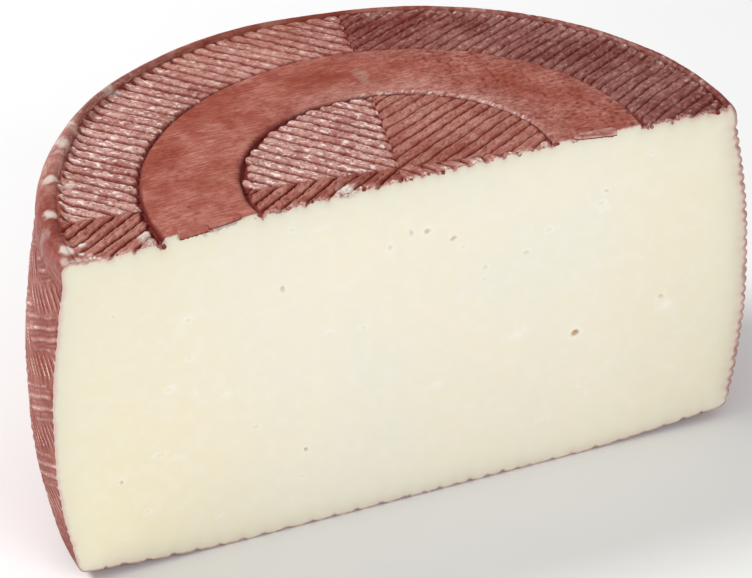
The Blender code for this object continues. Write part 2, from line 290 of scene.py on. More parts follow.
class CheeseColours(bpy.types.PropertyGroup):
    wine: FloatVectorProperty(
        name="Wine", description="The crust's main colour", subtype="COLOR", size=4,
        default=(0.385, 0.079, 0.040, 1), min=0, max=1,
    )
    # Dark wine in the grooves, deepened there as painted shade
    lees_and_shade: FloatVectorProperty(
        name="Lees_and_shade", description="Dark wine dried in the grooves", subtype="COLOR", size=4,
        default=(0.165, 0.018, 0.012, 1), min=0, max=1,
    )
    mauve: FloatVectorProperty(
        name="Mauve", description="The cooler, browner crust", subtype="COLOR", size=4,
        default=(0.215, 0.031, 0.019, 1), min=0, max=1,
    )
    # Pale bloom; the same colour also stands for painted sheen and painted highlights
    bloom: FloatVectorProperty(
        name="Bloom", description="Pale bloom on the ridges", subtype="COLOR", size=4,
        default=(0.79, 0.55, 0.49, 1), min=0, max=1,
    )
    whey: FloatVectorProperty(
        name="Whey", description="Dried whey on the crust", subtype="COLOR", size=4,
        default=(0.76, 0.67, 0.60, 1), min=0, max=1,
    )
    paste: FloatVectorProperty(
        name="Paste", description="The cut paste", subtype="COLOR", size=4,
        default=(0.875, 0.832, 0.715, 1), min=0, max=1,
    )
    rind_line: FloatVectorProperty(
        name="Rind line", description="The rind where it is cut", subtype="COLOR", size=4,
        default=(0.36, 0.17, 0.145, 1), min=0, max=1,
    )


class StageLight(bpy.types.PropertyGroup):
    sky: FloatProperty(name="Sky", description="Strength of the white room", default=0.45, min=0)
    key: FloatProperty(
        name="Key", description="Soft lamp behind on the left", default=10.5, min=0, unit="POWER",
    )
    fill: FloatProperty(
        name="Fill", description="Soft lamp in front", default=5.9, min=0, unit="POWER",
    )


# Curves of the wheel


def smooth(low, high, value):
    share = np.clip((value - low) / (high - low), 0, 1)
    return share * share * (3 - 2 * share)


def smooth_turn(low, high, turn):
    """The same between two directions in degrees, for a turn in radians."""
    return smooth(math.radians(low), math.radians(high), turn)


def from_east(angle):
    """How far a direction is turned from east, either way."""
    return np.abs((angle + np.pi) % (2 * np.pi) - np.pi)


def side_radius(height):
    above = np.clip((height - WIDEST_AT) / (HEIGHT - WIDEST_AT), 0, None)
    below = np.clip((WIDEST_AT - height) / WIDEST_AT, 0, None)
    return WIDEST_RADIUS - DRAW_IN_TOP * above**2 - DRAW_IN_BASE * below**2


def band_height(radius):
    return HEIGHT - DOME * (radius / DOME_RADIUS) ** 2


def base_height(radius):
    share = np.clip((radius - BASE_FLAT_RADIUS) / (FOOT_CENTRE[0] - BASE_FLAT_RADIUS), 0, None)
    return BASE_RISE * share**BASE_RISE_POWER


def rim_inner(angle):
    """Where the ridges give way to the smooth rim: further out at the back and on the right."""
    turn = from_east(angle)
    behind = smooth_turn(148, 126, turn)
    beside = smooth_turn(174, 166, turn) * smooth_turn(132, 148, turn)
    return 80.5 + 1.3 * behind + 0.5 * behind * smooth_turn(70, 100, turn) - 1.2 * beside


def rim_lift(angle):
    """How much higher the rim stands behind on the left."""
    return 0.95 * smooth_turn(78, 102, from_east(angle)) * smooth_turn(162, 138, from_east(angle))


def band_inner(angle):
    """The inner edge of the band, which widens toward the cut on the right."""
    return BAND_INNER + 0.65 * smooth_turn(32, 2, from_east(angle))


def below_band(east, north):
    """How far the ridge tops lie under the bare band: more outside it, on the left."""
    left = smooth(20, -20, east + 0.5 * north)
    outside = smooth(BAND_INNER, BAND_OUTER, np.hypot(east, north))
    return 0.24 + 0.12 * left + 0.40 * left * outside + 0.2 * outside * smooth(-50, -66, east)


def leftward(east, north):
    """Share of the left half's deeper grooves, 0 to 1."""
    return smooth(20, -15, east + 0.5 * north)


def left_corner(east, north):
    """Share of the level ground beside the rim where the cut meets it on the left, 0 to 1."""
    return smooth(CUT + 7, CUT + 2.5, north) * smooth(-73.5, -77, east)


def turned(east, north, angle):
    """How far places lie along a direction and across it."""
    return east * np.cos(angle) + north * np.sin(angle), north * np.cos(angle) - east * np.sin(angle)


def place(points):
    """Points about the wheel's axis, in millimetres, swollen, leaned and stood in the frame."""
    east, north, up = points.T
    angle = np.arctan2(north, east)
    swell = sum(share * np.sin(count * angle + start) for count, share, start in SWELLS)
    swell = OUT_OF_ROUND * swell * (np.hypot(east, north) / WIDEST_RADIUS) ** 2
    behind = np.clip((north - CUT) / SWELL_FADE, 0, 1)
    east = east + swell * np.cos(angle) + LEAN * up / HEIGHT - MIDDLE[0]
    north = north + swell * np.sin(angle) * behind - MIDDLE[1]
    return np.stack([east, north, up], axis=1) * MM


def noise(east, north, size, seed):
    """Smooth unevenness of about -1 to 1, with lumps of that size."""
    turns = np.random.default_rng(seed).uniform(0, 2 * np.pi, (NOISE_CELLS, NOISE_CELLS))
    pull_east = np.cos(turns)
    pull_north = np.sin(turns)
    east, north = np.broadcast_arrays(np.asarray(east) / size, np.asarray(north) / size)
    column = np.floor(east).astype(int)
    row = np.floor(north).astype(int)
    across = east - column
    along = north - row

    def corner(step_east, step_north):
        cell = ((column + step_east) % NOISE_CELLS, (row + step_north) % NOISE_CELLS)
        return pull_east[cell] * (across - step_east) + pull_north[cell] * (along - step_north)

    fade_across = across**3 * (across * (across * 6 - 15) + 10)
    fade_along = along**3 * (along * (along * 6 - 15) + 10)
    low = corner(0, 0) + fade_across * (corner(1, 0) - corner(0, 0))
    high = corner(0, 1) + fade_across * (corner(1, 1) - corner(0, 1))
    return 1.5 * (low + fade_along * (high - low))


def layered(east, north, *layers):
    """Noises laid over each other, each with its strength, size and seed."""
    return sum(strength * noise(east, north, size, seed) for strength, size, seed in layers)


# Mesh work


def activate(piece):
    bpy.ops.object.select_all(action="DESELECT")
    piece.select_set(True)
    bpy.context.view_layer.objects.active = piece


@contextlib.contextmanager
def edit(piece, mode="VERT", start="DESELECT"):
    activate(piece)
    bpy.ops.object.mode_set(mode="EDIT")
    bpy.ops.mesh.select_mode(type=mode)
    if start:
        bpy.ops.mesh.select_all(action=start)
    yield
    bpy.ops.object.mode_set(mode="OBJECT")


def rename(piece, name):
    piece.name = name
    piece.data.name = name
    return piece


def add_sheet(name, columns, rows):
    """A flat grid over the unit square, to be laid on the cheese."""
    bpy.ops.object.select_all(action="DESELECT")
    bpy.ops.mesh.primitive_grid_add(
        x_subdivisions=columns, y_subdivisions=rows, size=1, location=(0.5, 0.5, 0), calc_uvs=False
    )
    bpy.ops.object.transform_apply(location=True)
    return rename(bpy.context.object, name)


def points_of(piece):
    found = np.empty(len(piece.data.vertices) * 3, np.float32)
    piece.data.vertices.foreach_get("co", found)
    return found.reshape(-1, 3).astype(np.float64)


def move_points(piece, points):
    piece.data.vertices.foreach_set("co", np.ascontiguousarray(points, np.float32).ravel())
    piece.data.update()


def lay(piece, east, north, up):
    move_points(piece, np.stack([east, north, up], axis=1))


def stand(piece):
    """Stands a piece that was made about the wheel's axis in the frame."""
    move_points(piece, place(points_of(piece)))
    return piece


def set_layer(piece, name, kind, field, values):
    layer = piece.data.attributes.get(name) or piece.data.attributes.new(name, kind, "POINT")
    layer.data.foreach_set(field, np.ascontiguousarray(values, np.float32).ravel())


def set_masks(piece, **masks):
    for name, values in masks.items():
        set_layer(piece, name, "FLOAT", "value", np.broadcast_to(values, len(piece.data.vertices)))


def set_grain(piece, along, across):
    """The way the straw ran, for prints that follow it."""
    grain = np.stack([along * MM, across * MM, np.zeros_like(along)], axis=1)
    set_layer(piece, "grain", "FLOAT_VECTOR", "vector", grain)


def choose(piece, points):
    """Selects the faces that touch the points of a mask, for the next edit."""
    mesh = piece.data
    corners = np.empty(len(mesh.polygons) * 4, np.int32)
    mesh.polygons.foreach_get("vertices", corners)
    mesh.vertices.foreach_set("select", np.zeros(len(mesh.vertices), bool))
    mesh.edges.foreach_set("select", np.zeros(len(mesh.edges), bool))
    mesh.polygons.foreach_set("select", points[corners.reshape(-1, 4)].any(axis=1))


def slice_off(piece, point=(0, CUT + BEHIND_FACE, 0), normal=(0, 1, 0), fill=False):
    """Cuts with a plane, here the cut's own, and drops what lies behind it."""
    with edit(piece, start="SELECT"):
        bpy.ops.mesh.bisect(
            plane_co=point, plane_no=normal, clear_inner=True, use_fill=fill, threshold=0.0001
        )


def turn_outwards():
    bpy.ops.mesh.select_all(action="SELECT")
    bpy.ops.mesh.normals_make_consistent(inside=False)


def select_rim():
    bpy.ops.mesh.select_non_manifold(
        extend=False, use_wire=False, use_multi_face=False, use_non_contiguous=False, use_verts=False
    )


def pull_out(*step):
    bpy.ops.mesh.extrude_region_move(TRANSFORM_OT_translate={"value": step})


def close_below(piece, floor, lip):
    """Gives a sheet a thin lip and a skirt down to a flat floor, and closes it."""
    count = len(piece.data.vertices)
    with edit(piece, mode="EDGE"):
        select_rim()
        pull_out(0, 0, -lip)
    points = points_of(piece)
    points[count:, 1] = np.maximum(points[count:, 1], CUT + BEHIND_FACE)
    move_points(piece, points)
    with edit(piece, mode="EDGE", start=None):
        pull_out(0, 0, -1)
        bpy.ops.transform.resize(value=(1, 1, 0), center_override=(0, 0, floor))
        bpy.ops.mesh.edge_face_add()
        turn_outwards()


def join(pieces, name):
    activate(pieces[0])
    for piece in pieces[1:]:
        piece.select_set(True)
    bpy.ops.object.join()
    return rename(pieces[0], name)


def finish_piece(piece, material):
    piece.data.materials.clear()
    piece.data.materials.append(material)
    activate(piece)
    bpy.ops.object.shade_smooth_by_angle(angle=math.radians(SHARP))
    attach(piece, BODY)
    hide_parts(CAD_NODE)


# Ridged zones of the top and the base


def whey_at(east, north):
    """How much dried whey lies here, 0 to 1."""
    found = np.zeros_like(east)
    for place_east, place_north, reach_east, reach_north, strength in WHEY_SPOTS:
        away = np.hypot((east - place_east) / reach_east, (north - place_north) / reach_north)
        away = away + 0.35 * noise(east, north, 1.7, 91)
        found = np.maximum(found, strength * smooth(1.25, 0.55, away))
    return found


def from_seam(seam, east, north):
    """How far a place lies to the left of a seam's direction."""
    return turned(east - seam[1], north, math.radians(seam[0]))[1]


def ridge_ground(name, look, zone, cell):
    """A flat sheet in line with a quarter's ridges, trimmed to its seams, its ring and the cut."""
    direction = math.radians(look.direction)
    first = math.radians(look.start[0] - 3)
    inner, outer = zone[0] - UNDERLAP, zone[1] + (PAST_RIM if zone[0] > 0 else PAST_BAND)
    turns, radii = np.meshgrid(
        np.linspace(first, first + math.radians(98), 99), np.linspace(max(inner, 0), outer, 41)
    )
    east, north = radii * np.cos(turns), radii * np.sin(turns)
    kept = north > CUT - 2.5
    along, across = turned(east[kept], north[kept], direction)
    low_along, low_across = along.min() - cell[0], across.min() - cell[1]
    columns = int((along.max() - low_along) / cell[0]) + 2
    rows = int((across.max() - low_across) / cell[1]) + 2
    piece = add_sheet(name, columns, rows)
    along, across, flat = points_of(piece).T
    along = low_along + along * columns * cell[0]
    across = low_across + across * rows * cell[1]
    east, north = turned(along, across, -direction)
    lay(piece, east, north, flat)
    radius = np.hypot(east, north)
    margin = 1.5 * max(cell)
    wedge = (from_seam(look.start, east, north) > -margin) & (from_seam(look.end, east, north) < margin)
    if zone[0] > 0:
        outer = rim_inner(np.arctan2(north, east)) + UNDERLAP
    choose(piece, (radius < inner) | (radius > outer) | (north < CUT - 0.1 - margin) | ~wedge)
    with edit(piece, mode="FACE", start=None):
        bpy.ops.mesh.delete(type="FACE")
    for seam, side in ((look.start, 1), (look.end, -1)):
        turn = math.radians(seam[0])
        slice_off(piece, (seam[1], 0, 0), (-side * math.sin(turn), side * math.cos(turn), 0))
    slice_off(piece)
    if len(piece.data.polygons):
        return piece
    bpy.data.objects.remove(piece)
    return None


def ridge_relief(look, zone, east, north):
    """How a quarter's ridges stand: profile 0 to 1, roughness, sunk moat, and the grain."""
    seed = look.seed
    outside = zone[0] > 0
    along, across = turned(east, north, math.radians(look.direction))
    wander = look.wander * layered(east, north, (1, 11, seed), (0.5, 4.5, seed + 1))
    wander += 0.14 * noise(east, north, 1.5, seed + 21)
    line = (across * (1 + look.fan * along) + wander) / look.pitch
    index = np.floor(line)
    off = line - index - 0.5
    own = np.random.default_rng(seed).uniform(-1, 1, (64, 3))[index.astype(int) % 64]
    width = look.width + 0.05 * own[:, 0] + 0.10 * noise(along, index * 9.7, 3.2, seed + 2)
    radius = np.hypot(east, north)
    turn = np.arctan2(north, east)
    ragged = noise((turn % (2 * np.pi)) * radius, index * 5.3, 1.6, seed + 9)
    inner_gap = radius - zone[0] if outside else np.full_like(radius, 99.0)
    outer_gap = (rim_inner(turn) if outside else zone[1] - BAND_INNER + band_inner(turn)) - radius
    left = leftward(east, north)
    rim_moat = look.rim_moat if outside else 0.2 + 0.6 * left
    band_moat = 0.2 + 0.5 * left + 0.35 * own[:, 1] + 0.35 * ragged
    band_moat += 0.8 * smooth(CUT + 14, CUT + 2, north) * smooth(20, 45, east)
    moat = np.minimum(inner_gap - band_moat, outer_gap - rim_moat * (1 + 0.9 * own[:, 2]) - 0.3 * ragged)
    end = np.clip(1 - moat / RIDGE_TIP, 0, 1.6)
    if look.tips:
        gap = from_seam(getattr(look, look.tips), east, north) * (1 if look.tips == "start" else -1)
        end = np.maximum(end, 0.72 * np.clip(1.25 - gap + 0.45 * own[:, 1], 0, 1))
    rounded = np.clip(np.hypot(2 * off / width, end), 0, 1)
    profile = (1 - rounded**look.flat) ** 0.62
    sunk = 0.14 * smooth(1.0, 1.35, end) * smooth(0, 0.3, np.minimum(inner_gap, outer_gap)) * left
    lumps = noise(along, across * 1.4, 1.8, seed + 3) + 0.75 * noise(along, across * 1.2, 0.85, seed + 4)
    pits = look.pits * smooth(0.20, 0.60, noise(east, north, 0.95, seed + 5))
    broken = smooth(-0.3, 0.5, noise(along / 4, across, 1.1, seed + 6))
    fibres = look.fibres * np.cos(2 * np.pi * 3 * off) * broken
    rough = (look.lumps * lumps - pits + fibres) * (0.3 + 0.7 * profile)
    rough += 0.12 * own[:, 1] * profile + 0.12 * noise(east, north, 22, seed + 7)
    if outside:
        crumbled = smooth(3.4, 0.8, outer_gap) * smooth(-30, 10, east)
        rough += 0.20 * crumbled * noise(east, north, 1.0, seed + 11)
        rough += 0.26 * smooth(2.4, 0.6, inner_gap) * left * noise(east, north, 0.9, seed + 12)
    return profile, rough, sunk, along, across


def print_ridges(piece, look, zone, sizes):
    """Raises the ridges of one sheet of the top, and writes the masks that colour it."""
    points = points_of(piece)
    east, north = points[:, 0], points[:, 1]
    profile, rough, sunk, along, across = ridge_relief(look, zone, east, north)
    ridge = sizes.ridge_height / MM
    radius = np.hypot(east, north)
    turn = from_east(np.arctan2(north, east))
    rim_gap = rim_inner(turn) - radius
    outside = zone[0] > 0
    smeared = look is QUARTERS["back_right"]
    ground = band_height(radius) - below_band(east, north) - ridge
    if outside:
        ground += 0.25 * smooth(2.5, 0.5, rim_gap)
    fill = (0.32 if outside else 0.48) if smeared else 0.18
    valley = fill * smooth(0.2, 0, sunk)
    whey = whey_at(east, north)
    height = ground - sunk + valley + (ridge - valley) * profile + rough
    height += 0.35 * whey * (1 - 0.5 * profile)
    if outside:
        ledge = smooth(1.5, 0.3, rim_gap + 0.9 * noise(east, north, 1.7, 79)) * smooth(30, -10, east)
        level = LEDGE_LEVEL + 0.15 * noise(east, north, 1.6, 77) + 0.45 * ledge
        height += (level - height) * np.maximum(left_corner(east, north), 0.85 * ledge)
    points[:, 2] = np.minimum(height, band_height(radius) - 0.05)
    drag_over_cut(points)
    move_points(piece, points)
    # The edge pulled over the cut turns paler: raw torn crust, and painted light on its down-facing tips
    torn_edge_lit = smooth(CUT + 0.9, CUT + 0.1, north)
    lowest = 0.24 if smeared else 0.07
    # A low crest takes on the lees: dried wine in the grooves and moats, deepened as painted shade
    crest = np.clip(lowest + (1 - lowest) * profile + 0.8 * rough - 0.4 * sunk, 0, 1)
    if outside:
        crest += (0.66 - crest) * 0.8 * ledge
        foot = smooth(2.0, 0.4, radius - zone[0]) * leftward(east, north)
        crest *= 1 - 0.75 * foot * smooth(-0.5, 0.3, noise(east, north, 0.9, 80))
    # Bloom on the crests: real pale bloom with painted sheen on top, stronger in the quarters whose ridges
    # face the lamp
    patchy = 0.85 + 0.35 * noise(east, north, 6, look.seed + 8)
    bloom = look.bloom * patchy * np.clip(profile, 0, 1) ** 1.5
    mauve = 0.0
    if smeared and outside:
        # Painted glints: sparkles at the rim ends of the ridges and scattered over the quarter
        sparkle = smooth(-0.1, 0.5, noise(east, north, 1.3, 78))
        bloom *= 0.7
        bloom += 0.45 * smooth(3.2, 0.6, rim_gap) * smooth(-25, 15, east) * sparkle
        bloom += 0.15 * smooth(0.1, 0.5, noise(east, north, 1.1, 81))
        mauve = smooth(-10, 10, east) * (0.75 + 0.25 * smooth(30, 60, east))
    elif smeared:
        bloom *= 2.0
    # On the outer back-left ridges the painted sheen fades toward the back
    elif outside and look is QUARTERS["back_left"]:
        bloom *= 1 - 0.5 * smooth_turn(150, 92, turn)
    set_masks(piece, crest=np.maximum(crest, 0.8 * torn_edge_lit), bloom=np.clip(bloom + 0.35 * torn_edge_lit, 0, 1.2))
    set_masks(piece, whey=whey, mauve=mauve, pebble=0.3)
    set_grain(piece, along, across)


def press_base(piece, look, zone, sizes):
    """Presses the same ridges faintly into one sheet of the base."""
    points = points_of(piece)
    east, north = points[:, 0], points[:, 1]
    profile, rough, _, along, across = ridge_relief(look, (0, BASE_REACH), east, north)
    radius = np.hypot(east, north)
    lift = smooth(76.8, 78.2, radius)
    points[:, 2] = base_height(radius) + 0.5 * (1 - profile) * (1 - lift) + 0.6 * lift
    points[:, 2] += np.clip(0.3 * rough, 0, 0.3)
    move_points(piece, points)
    set_masks(piece, crest=0.35 + 0.65 * profile, bloom=0.15 * profile, whey=0.0, mauve=0.4, pebble=0.3)
    set_grain(piece, along, across)


def make_ridged_piece(name, zone, floor, lip, cell, shape, sizes):
    """One crust piece from the sheets of its quarters, each shaped and closed."""
    made = []
    for quarter, look in QUARTERS.items():
        piece = ridge_ground(f"{name}_{quarter}", look, zone, cell)
        if piece:
            shape(piece, look, zone, sizes)
            close_below(piece, floor, lip)
            made.append(piece)
    return stand(join(made, name))


def drag_over_cut(points):
    """Pulls the top edge raggedly a little over the cut, as the knife did."""
    east, north = points[:, 0], points[:, 1]
    tips = 0.3 + layered(east, 0, (0.7, 2.7, 701), (0.6, 1.1, 702))
    pull = 0.62 * np.clip(tips, 0, 1) * smooth(CUT + 1.2, CUT + BEHIND_FACE, north)
    points[:, 1] -= pull
    points[:, 2] -= 0.35 * pull


# Turned pieces


def walk(step, *corners):
    """Points along a line of corners, no further apart than the step."""
    points = [corners[0]]
    for start, end in zip(corners[:-1], corners[1:]):
        pieces = max(1, math.ceil(math.dist(start, end) / step))
        for part in range(1, pieces + 1):
            share = part / pieces
            points.append((start[0] + (end[0] - start[0]) * share, start[1] + (end[1] - start[1]) * share))
    return points


def arc(centre, radii, start, end, steps):
    turns = np.radians(np.linspace(start, end, steps + 1))
    return [(centre[0] + radii[0] * math.cos(t), centre[1] + radii[1] * math.sin(t)) for t in turns]


def turned_sheet(name, stations, angles):
    """A sheet whose rows follow the stations, with the angle, row, radius and height of its points."""
    rows = len(stations) - 1
    columns = len(angles) - 1
    piece = add_sheet(name, columns, rows)
    unit = points_of(piece)
    row = np.rint(unit[:, 1] * rows).astype(int)
    return piece, angles[np.rint(unit[:, 0] * columns).astype(int)], row, *np.array(stations)[row].T


def close_turned(piece):
    """Joins the first and last rows, trims the ends at the cut and closes them."""
    with edit(piece, start="SELECT"):
        bpy.ops.mesh.remove_doubles(threshold=0.0005)
        turn_outwards()
    slice_off(piece, fill=True)
    with edit(piece):
        turn_outwards()
    return points_of(piece)


def make_band(sizes):
    """The bare raised band, with softly rounded edges and a broader shoulder inside."""
    shoulder_run, shoulder_drop = BAND_SHOULDER
    edge = BAND_EDGE
    inner_top = band_height(BAND_INNER) - shoulder_drop
    outer_top = band_height(BAND_OUTER) - edge
    stations = walk(0.3, (BAND_INNER, BAND_INNER_FOOT), (BAND_INNER, inner_top))
    stations += arc((BAND_INNER + shoulder_run, inner_top), BAND_SHOULDER, 180, 90, 10)[1:]
    flat = np.linspace(BAND_INNER + shoulder_run, BAND_OUTER - edge, 82)
    stations += [(radius, float(band_height(radius))) for radius in flat[1:]]
    stations += arc((BAND_OUTER - edge, outer_top), (edge, edge), 90, 0, 6)[1:]
    stations += walk(0.3, (BAND_OUTER, outer_top), (BAND_OUTER, BAND_OUTER_FOOT))[1:]
    outer_count = len(stations)
    stations += walk(6, (BAND_OUTER, BAND_OUTER_FOOT), (BAND_INNER, BAND_INNER_FOOT))[1:]
    angles = np.radians(np.linspace(-10, 190, 601))
    piece, angle, row, radius, height = turned_sheet("crust_band", stations, angles)
    arc_length = angle * BAND_MIDDLE
    near_inner = smooth(4, 0, radius - BAND_INNER)
    near_outer = smooth(4, 0, BAND_OUTER - radius)
    wobble = layered(arc_length, 0, (0.22, 9, 301), (0.08, 3, 302)) + band_inner(angle) - BAND_INNER
    outer_wobble = layered(arc_length, 40, (0.22, 9, 303), (0.08, 3, 304))
    radius = radius + near_inner * wobble + near_outer * outer_wobble
    east, north = radius * np.cos(angle), radius * np.sin(angle)
    raised = smooth(84.8, 86.8, height) * (row < outer_count)
    uneven = sizes.band_swell / MM * layered(east, north, (1, 13, 305), (0.45, 5, 306))
    pebbles = (0.03 + 0.13 * smooth(5, 30, east)) * noise(east * 0.7, north, 1.0, 307)
    streaks = 0.06 * noise(east * 0.35 + north * 0.1, north, 0.9, 308)
    lip = 0.16 * smooth(1.6, 0.3, radius - BAND_INNER) * smooth(-10, 12, east)
    lay(piece, east, north, height + raised * (uneven + pebbles + streaks + lip))
    east, north, up = close_turned(piece).T
    radius = np.hypot(east, north)
    depth = np.clip((band_height(radius) - up) / 1.2, 0, 1)
    # Painted shade on the band's inner shoulder on the left, which faces away from the lamp
    painted_shoulder_shade = 0.15 * smooth(2.0, 0.7, radius - BAND_INNER) * smooth(2, -18, east)
    dips = 0.5 * smooth(0.1, -0.6, noise(east * 0.7, north, 1.0, 307)) * (0.3 + 0.7 * smooth(5, 30, east))
    dark_foot = 0.5 * smooth(1.0, 0.2, BAND_OUTER - radius) * smooth(0, -25, east)
    # Painted highlight on the band's inner lip toward the right, and painted light (lit) over the inner part
    # of the band away from the left
    painted_lip_highlight = smooth(1.3, 0.2, radius - BAND_INNER) * smooth(-4, 14, east)
    lit = 0.15 * smooth(12, 1, radius - BAND_INNER) * smooth(-32, 0, east)
    set_masks(
        piece,
        crest=np.clip(0.9 - depth - painted_shoulder_shade - dark_foot - dips, 0, 1),
        bloom=np.clip(0.42 * painted_lip_highlight + lit + 0.04, 0, 1) * (1 - 0.7 * depth),
        whey=whey_at(east, north),
        mauve=0.35 * smooth(8, 0, BAND_OUTER - radius) * smooth(0, 20, east),
        pebble=smooth(-5, 30, east),
    )
    set_grain(piece, east * 1.4, north * 1.6)
    return stand(piece)


def straw_relief(angle, height, relief):
    """The straw print at a place of the side: rise, crest, painted shadow lines beside the crests, printed
    share and grain.
    """
    arc_length = (angle - WEAVE_ANCHOR[0]) * WIDEST_RADIUS
    above = height - WEAVE_ANCHOR[1]
    bent = above + layered(arc_length, height, (0.5, 14, 401), (0.12, 3.5, 402))
    flat_line = (bent - arc_length * math.tan(FLAT_SLOPE)) / STRAND
    steep_line = (bent - arc_length * math.tan(STEEP_SLOPE)) / STRAND
    level = flat_line / BLOCK_STRANDS
    up_block = level - np.floor(level)
    edge = (BLOCK_EDGE - WEAVE_ANCHOR[0]) * WIDEST_RADIUS
    table = np.random.default_rng(403).uniform(-1, 1, (2, 128, 3))
    flat_own = table[0, np.floor(flat_line).astype(int) % 128]
    steep_own = table[1, np.floor(steep_line).astype(int) % 128]
    column = (arc_length - edge + BLOCK_SLANT * (up_block - 0.5) + 1.5 * flat_own[:, 0]) / BLOCK_LENGTH
    flat_block = (np.floor(level) + np.floor(column)) % 2 == 1
    own = np.where(flat_block[:, None], flat_own, steep_own)
    line = np.where(flat_block, flat_line, steep_line)
    off = line - np.floor(line) - 0.5
    trough = np.abs(2 * off)
    crest = trough ** (np.where(flat_block, 1.7, 3.4) + 0.5 * own[:, 1])
    from_end = np.where(
        flat_block,
        np.minimum(column - np.floor(column), 1 + np.floor(column) - column) * BLOCK_LENGTH,
        np.minimum(up_block * 0.8, 1 - up_block) * BLOCK_STRANDS * STRAND,
    )
    kept = smooth(-0.2, 2.4, from_end + 0.5 * noise(arc_length, height, 2.2, 404))
    kept *= 1 - 0.5 * smooth(20, 10, height)
    strength = (0.85 + 0.3 * own[:, 2]) * (0.75 + 0.35 * noise(arc_length, height, 8, 408))
    along, across = turned(arc_length, above, np.where(flat_block, FLAT_SLOPE, STEEP_SLOPE))
    fibres = 0.07 * np.cos(2 * np.pi * 3 * off) + 0.10 * noise(along * 0.15, across, 0.8, 405)
    seam = np.where(flat_block, smooth(1.2, 0.2, from_end), 0)
    rise = relief * (strength * kept * (crest - 0.35) + fibres - 0.25 * seam)
    rise += (0.06 + 0.35 * smooth(24, 14, height)) * noise(arc_length, height, 1.3, 406) * relief
    printed = smooth(WEAVE_TOP + 0.6, WEAVE_TOP - 1.4, height) * smooth(WEAVE_FOOT, WEAVE_FOOT + 1.5, height)
    # Painted shadow: a dark line on each side of every crest
    beside = np.exp(-(((trough - np.where(flat_block, 0.38, 0.46)) / 0.12) ** 2)) * (0.8 + 0.4 * own[:, 1])
    crest = crest * np.where(flat_block, 0.8, 1)
    return rise * printed, crest * kept * printed, beside * kept * printed, printed, along, across


def side_stations():
    """The profile of the side as (radius, height), and how many of its points lie outside."""
    brow = RIM_CENTRE[0] + RIM_RADII[0]
    stations = walk(0.45, *RIM_EDGE) + arc(*RIM_LIP, 160, 90, 5)
    stations += arc(RIM_CENTRE, RIM_RADII, 90, 0, 20)[1:]
    steps = math.ceil((RIM_CENTRE[1] - FOOT_CENTRE[1]) / SIDE_STEP)
    for height in np.linspace(RIM_CENTRE[1], FOOT_CENTRE[1], steps + 1)[1:]:
        edge_radius = float(side_radius(height))
        join_share = max(0.0, (height - BROW_END) / (RIM_CENTRE[1] - BROW_END))
        stations.append((edge_radius + (brow - edge_radius) * join_share, float(height)))
    stations += arc(FOOT_CENTRE, (FOOT_RADIUS, FOOT_RADIUS), 0, -90, 6)[1:]
    stations += [(radius, float(base_height(radius))) for radius in FOOT_RINGS]
    outer_count = len(stations)
    back = [(float(side_radius(height)) - CRUST_DEPTH, height) for height in BACK_HEIGHTS]
    return stations + FOOT_BACK + back + RIM_BACK + stations[:1], outer_count


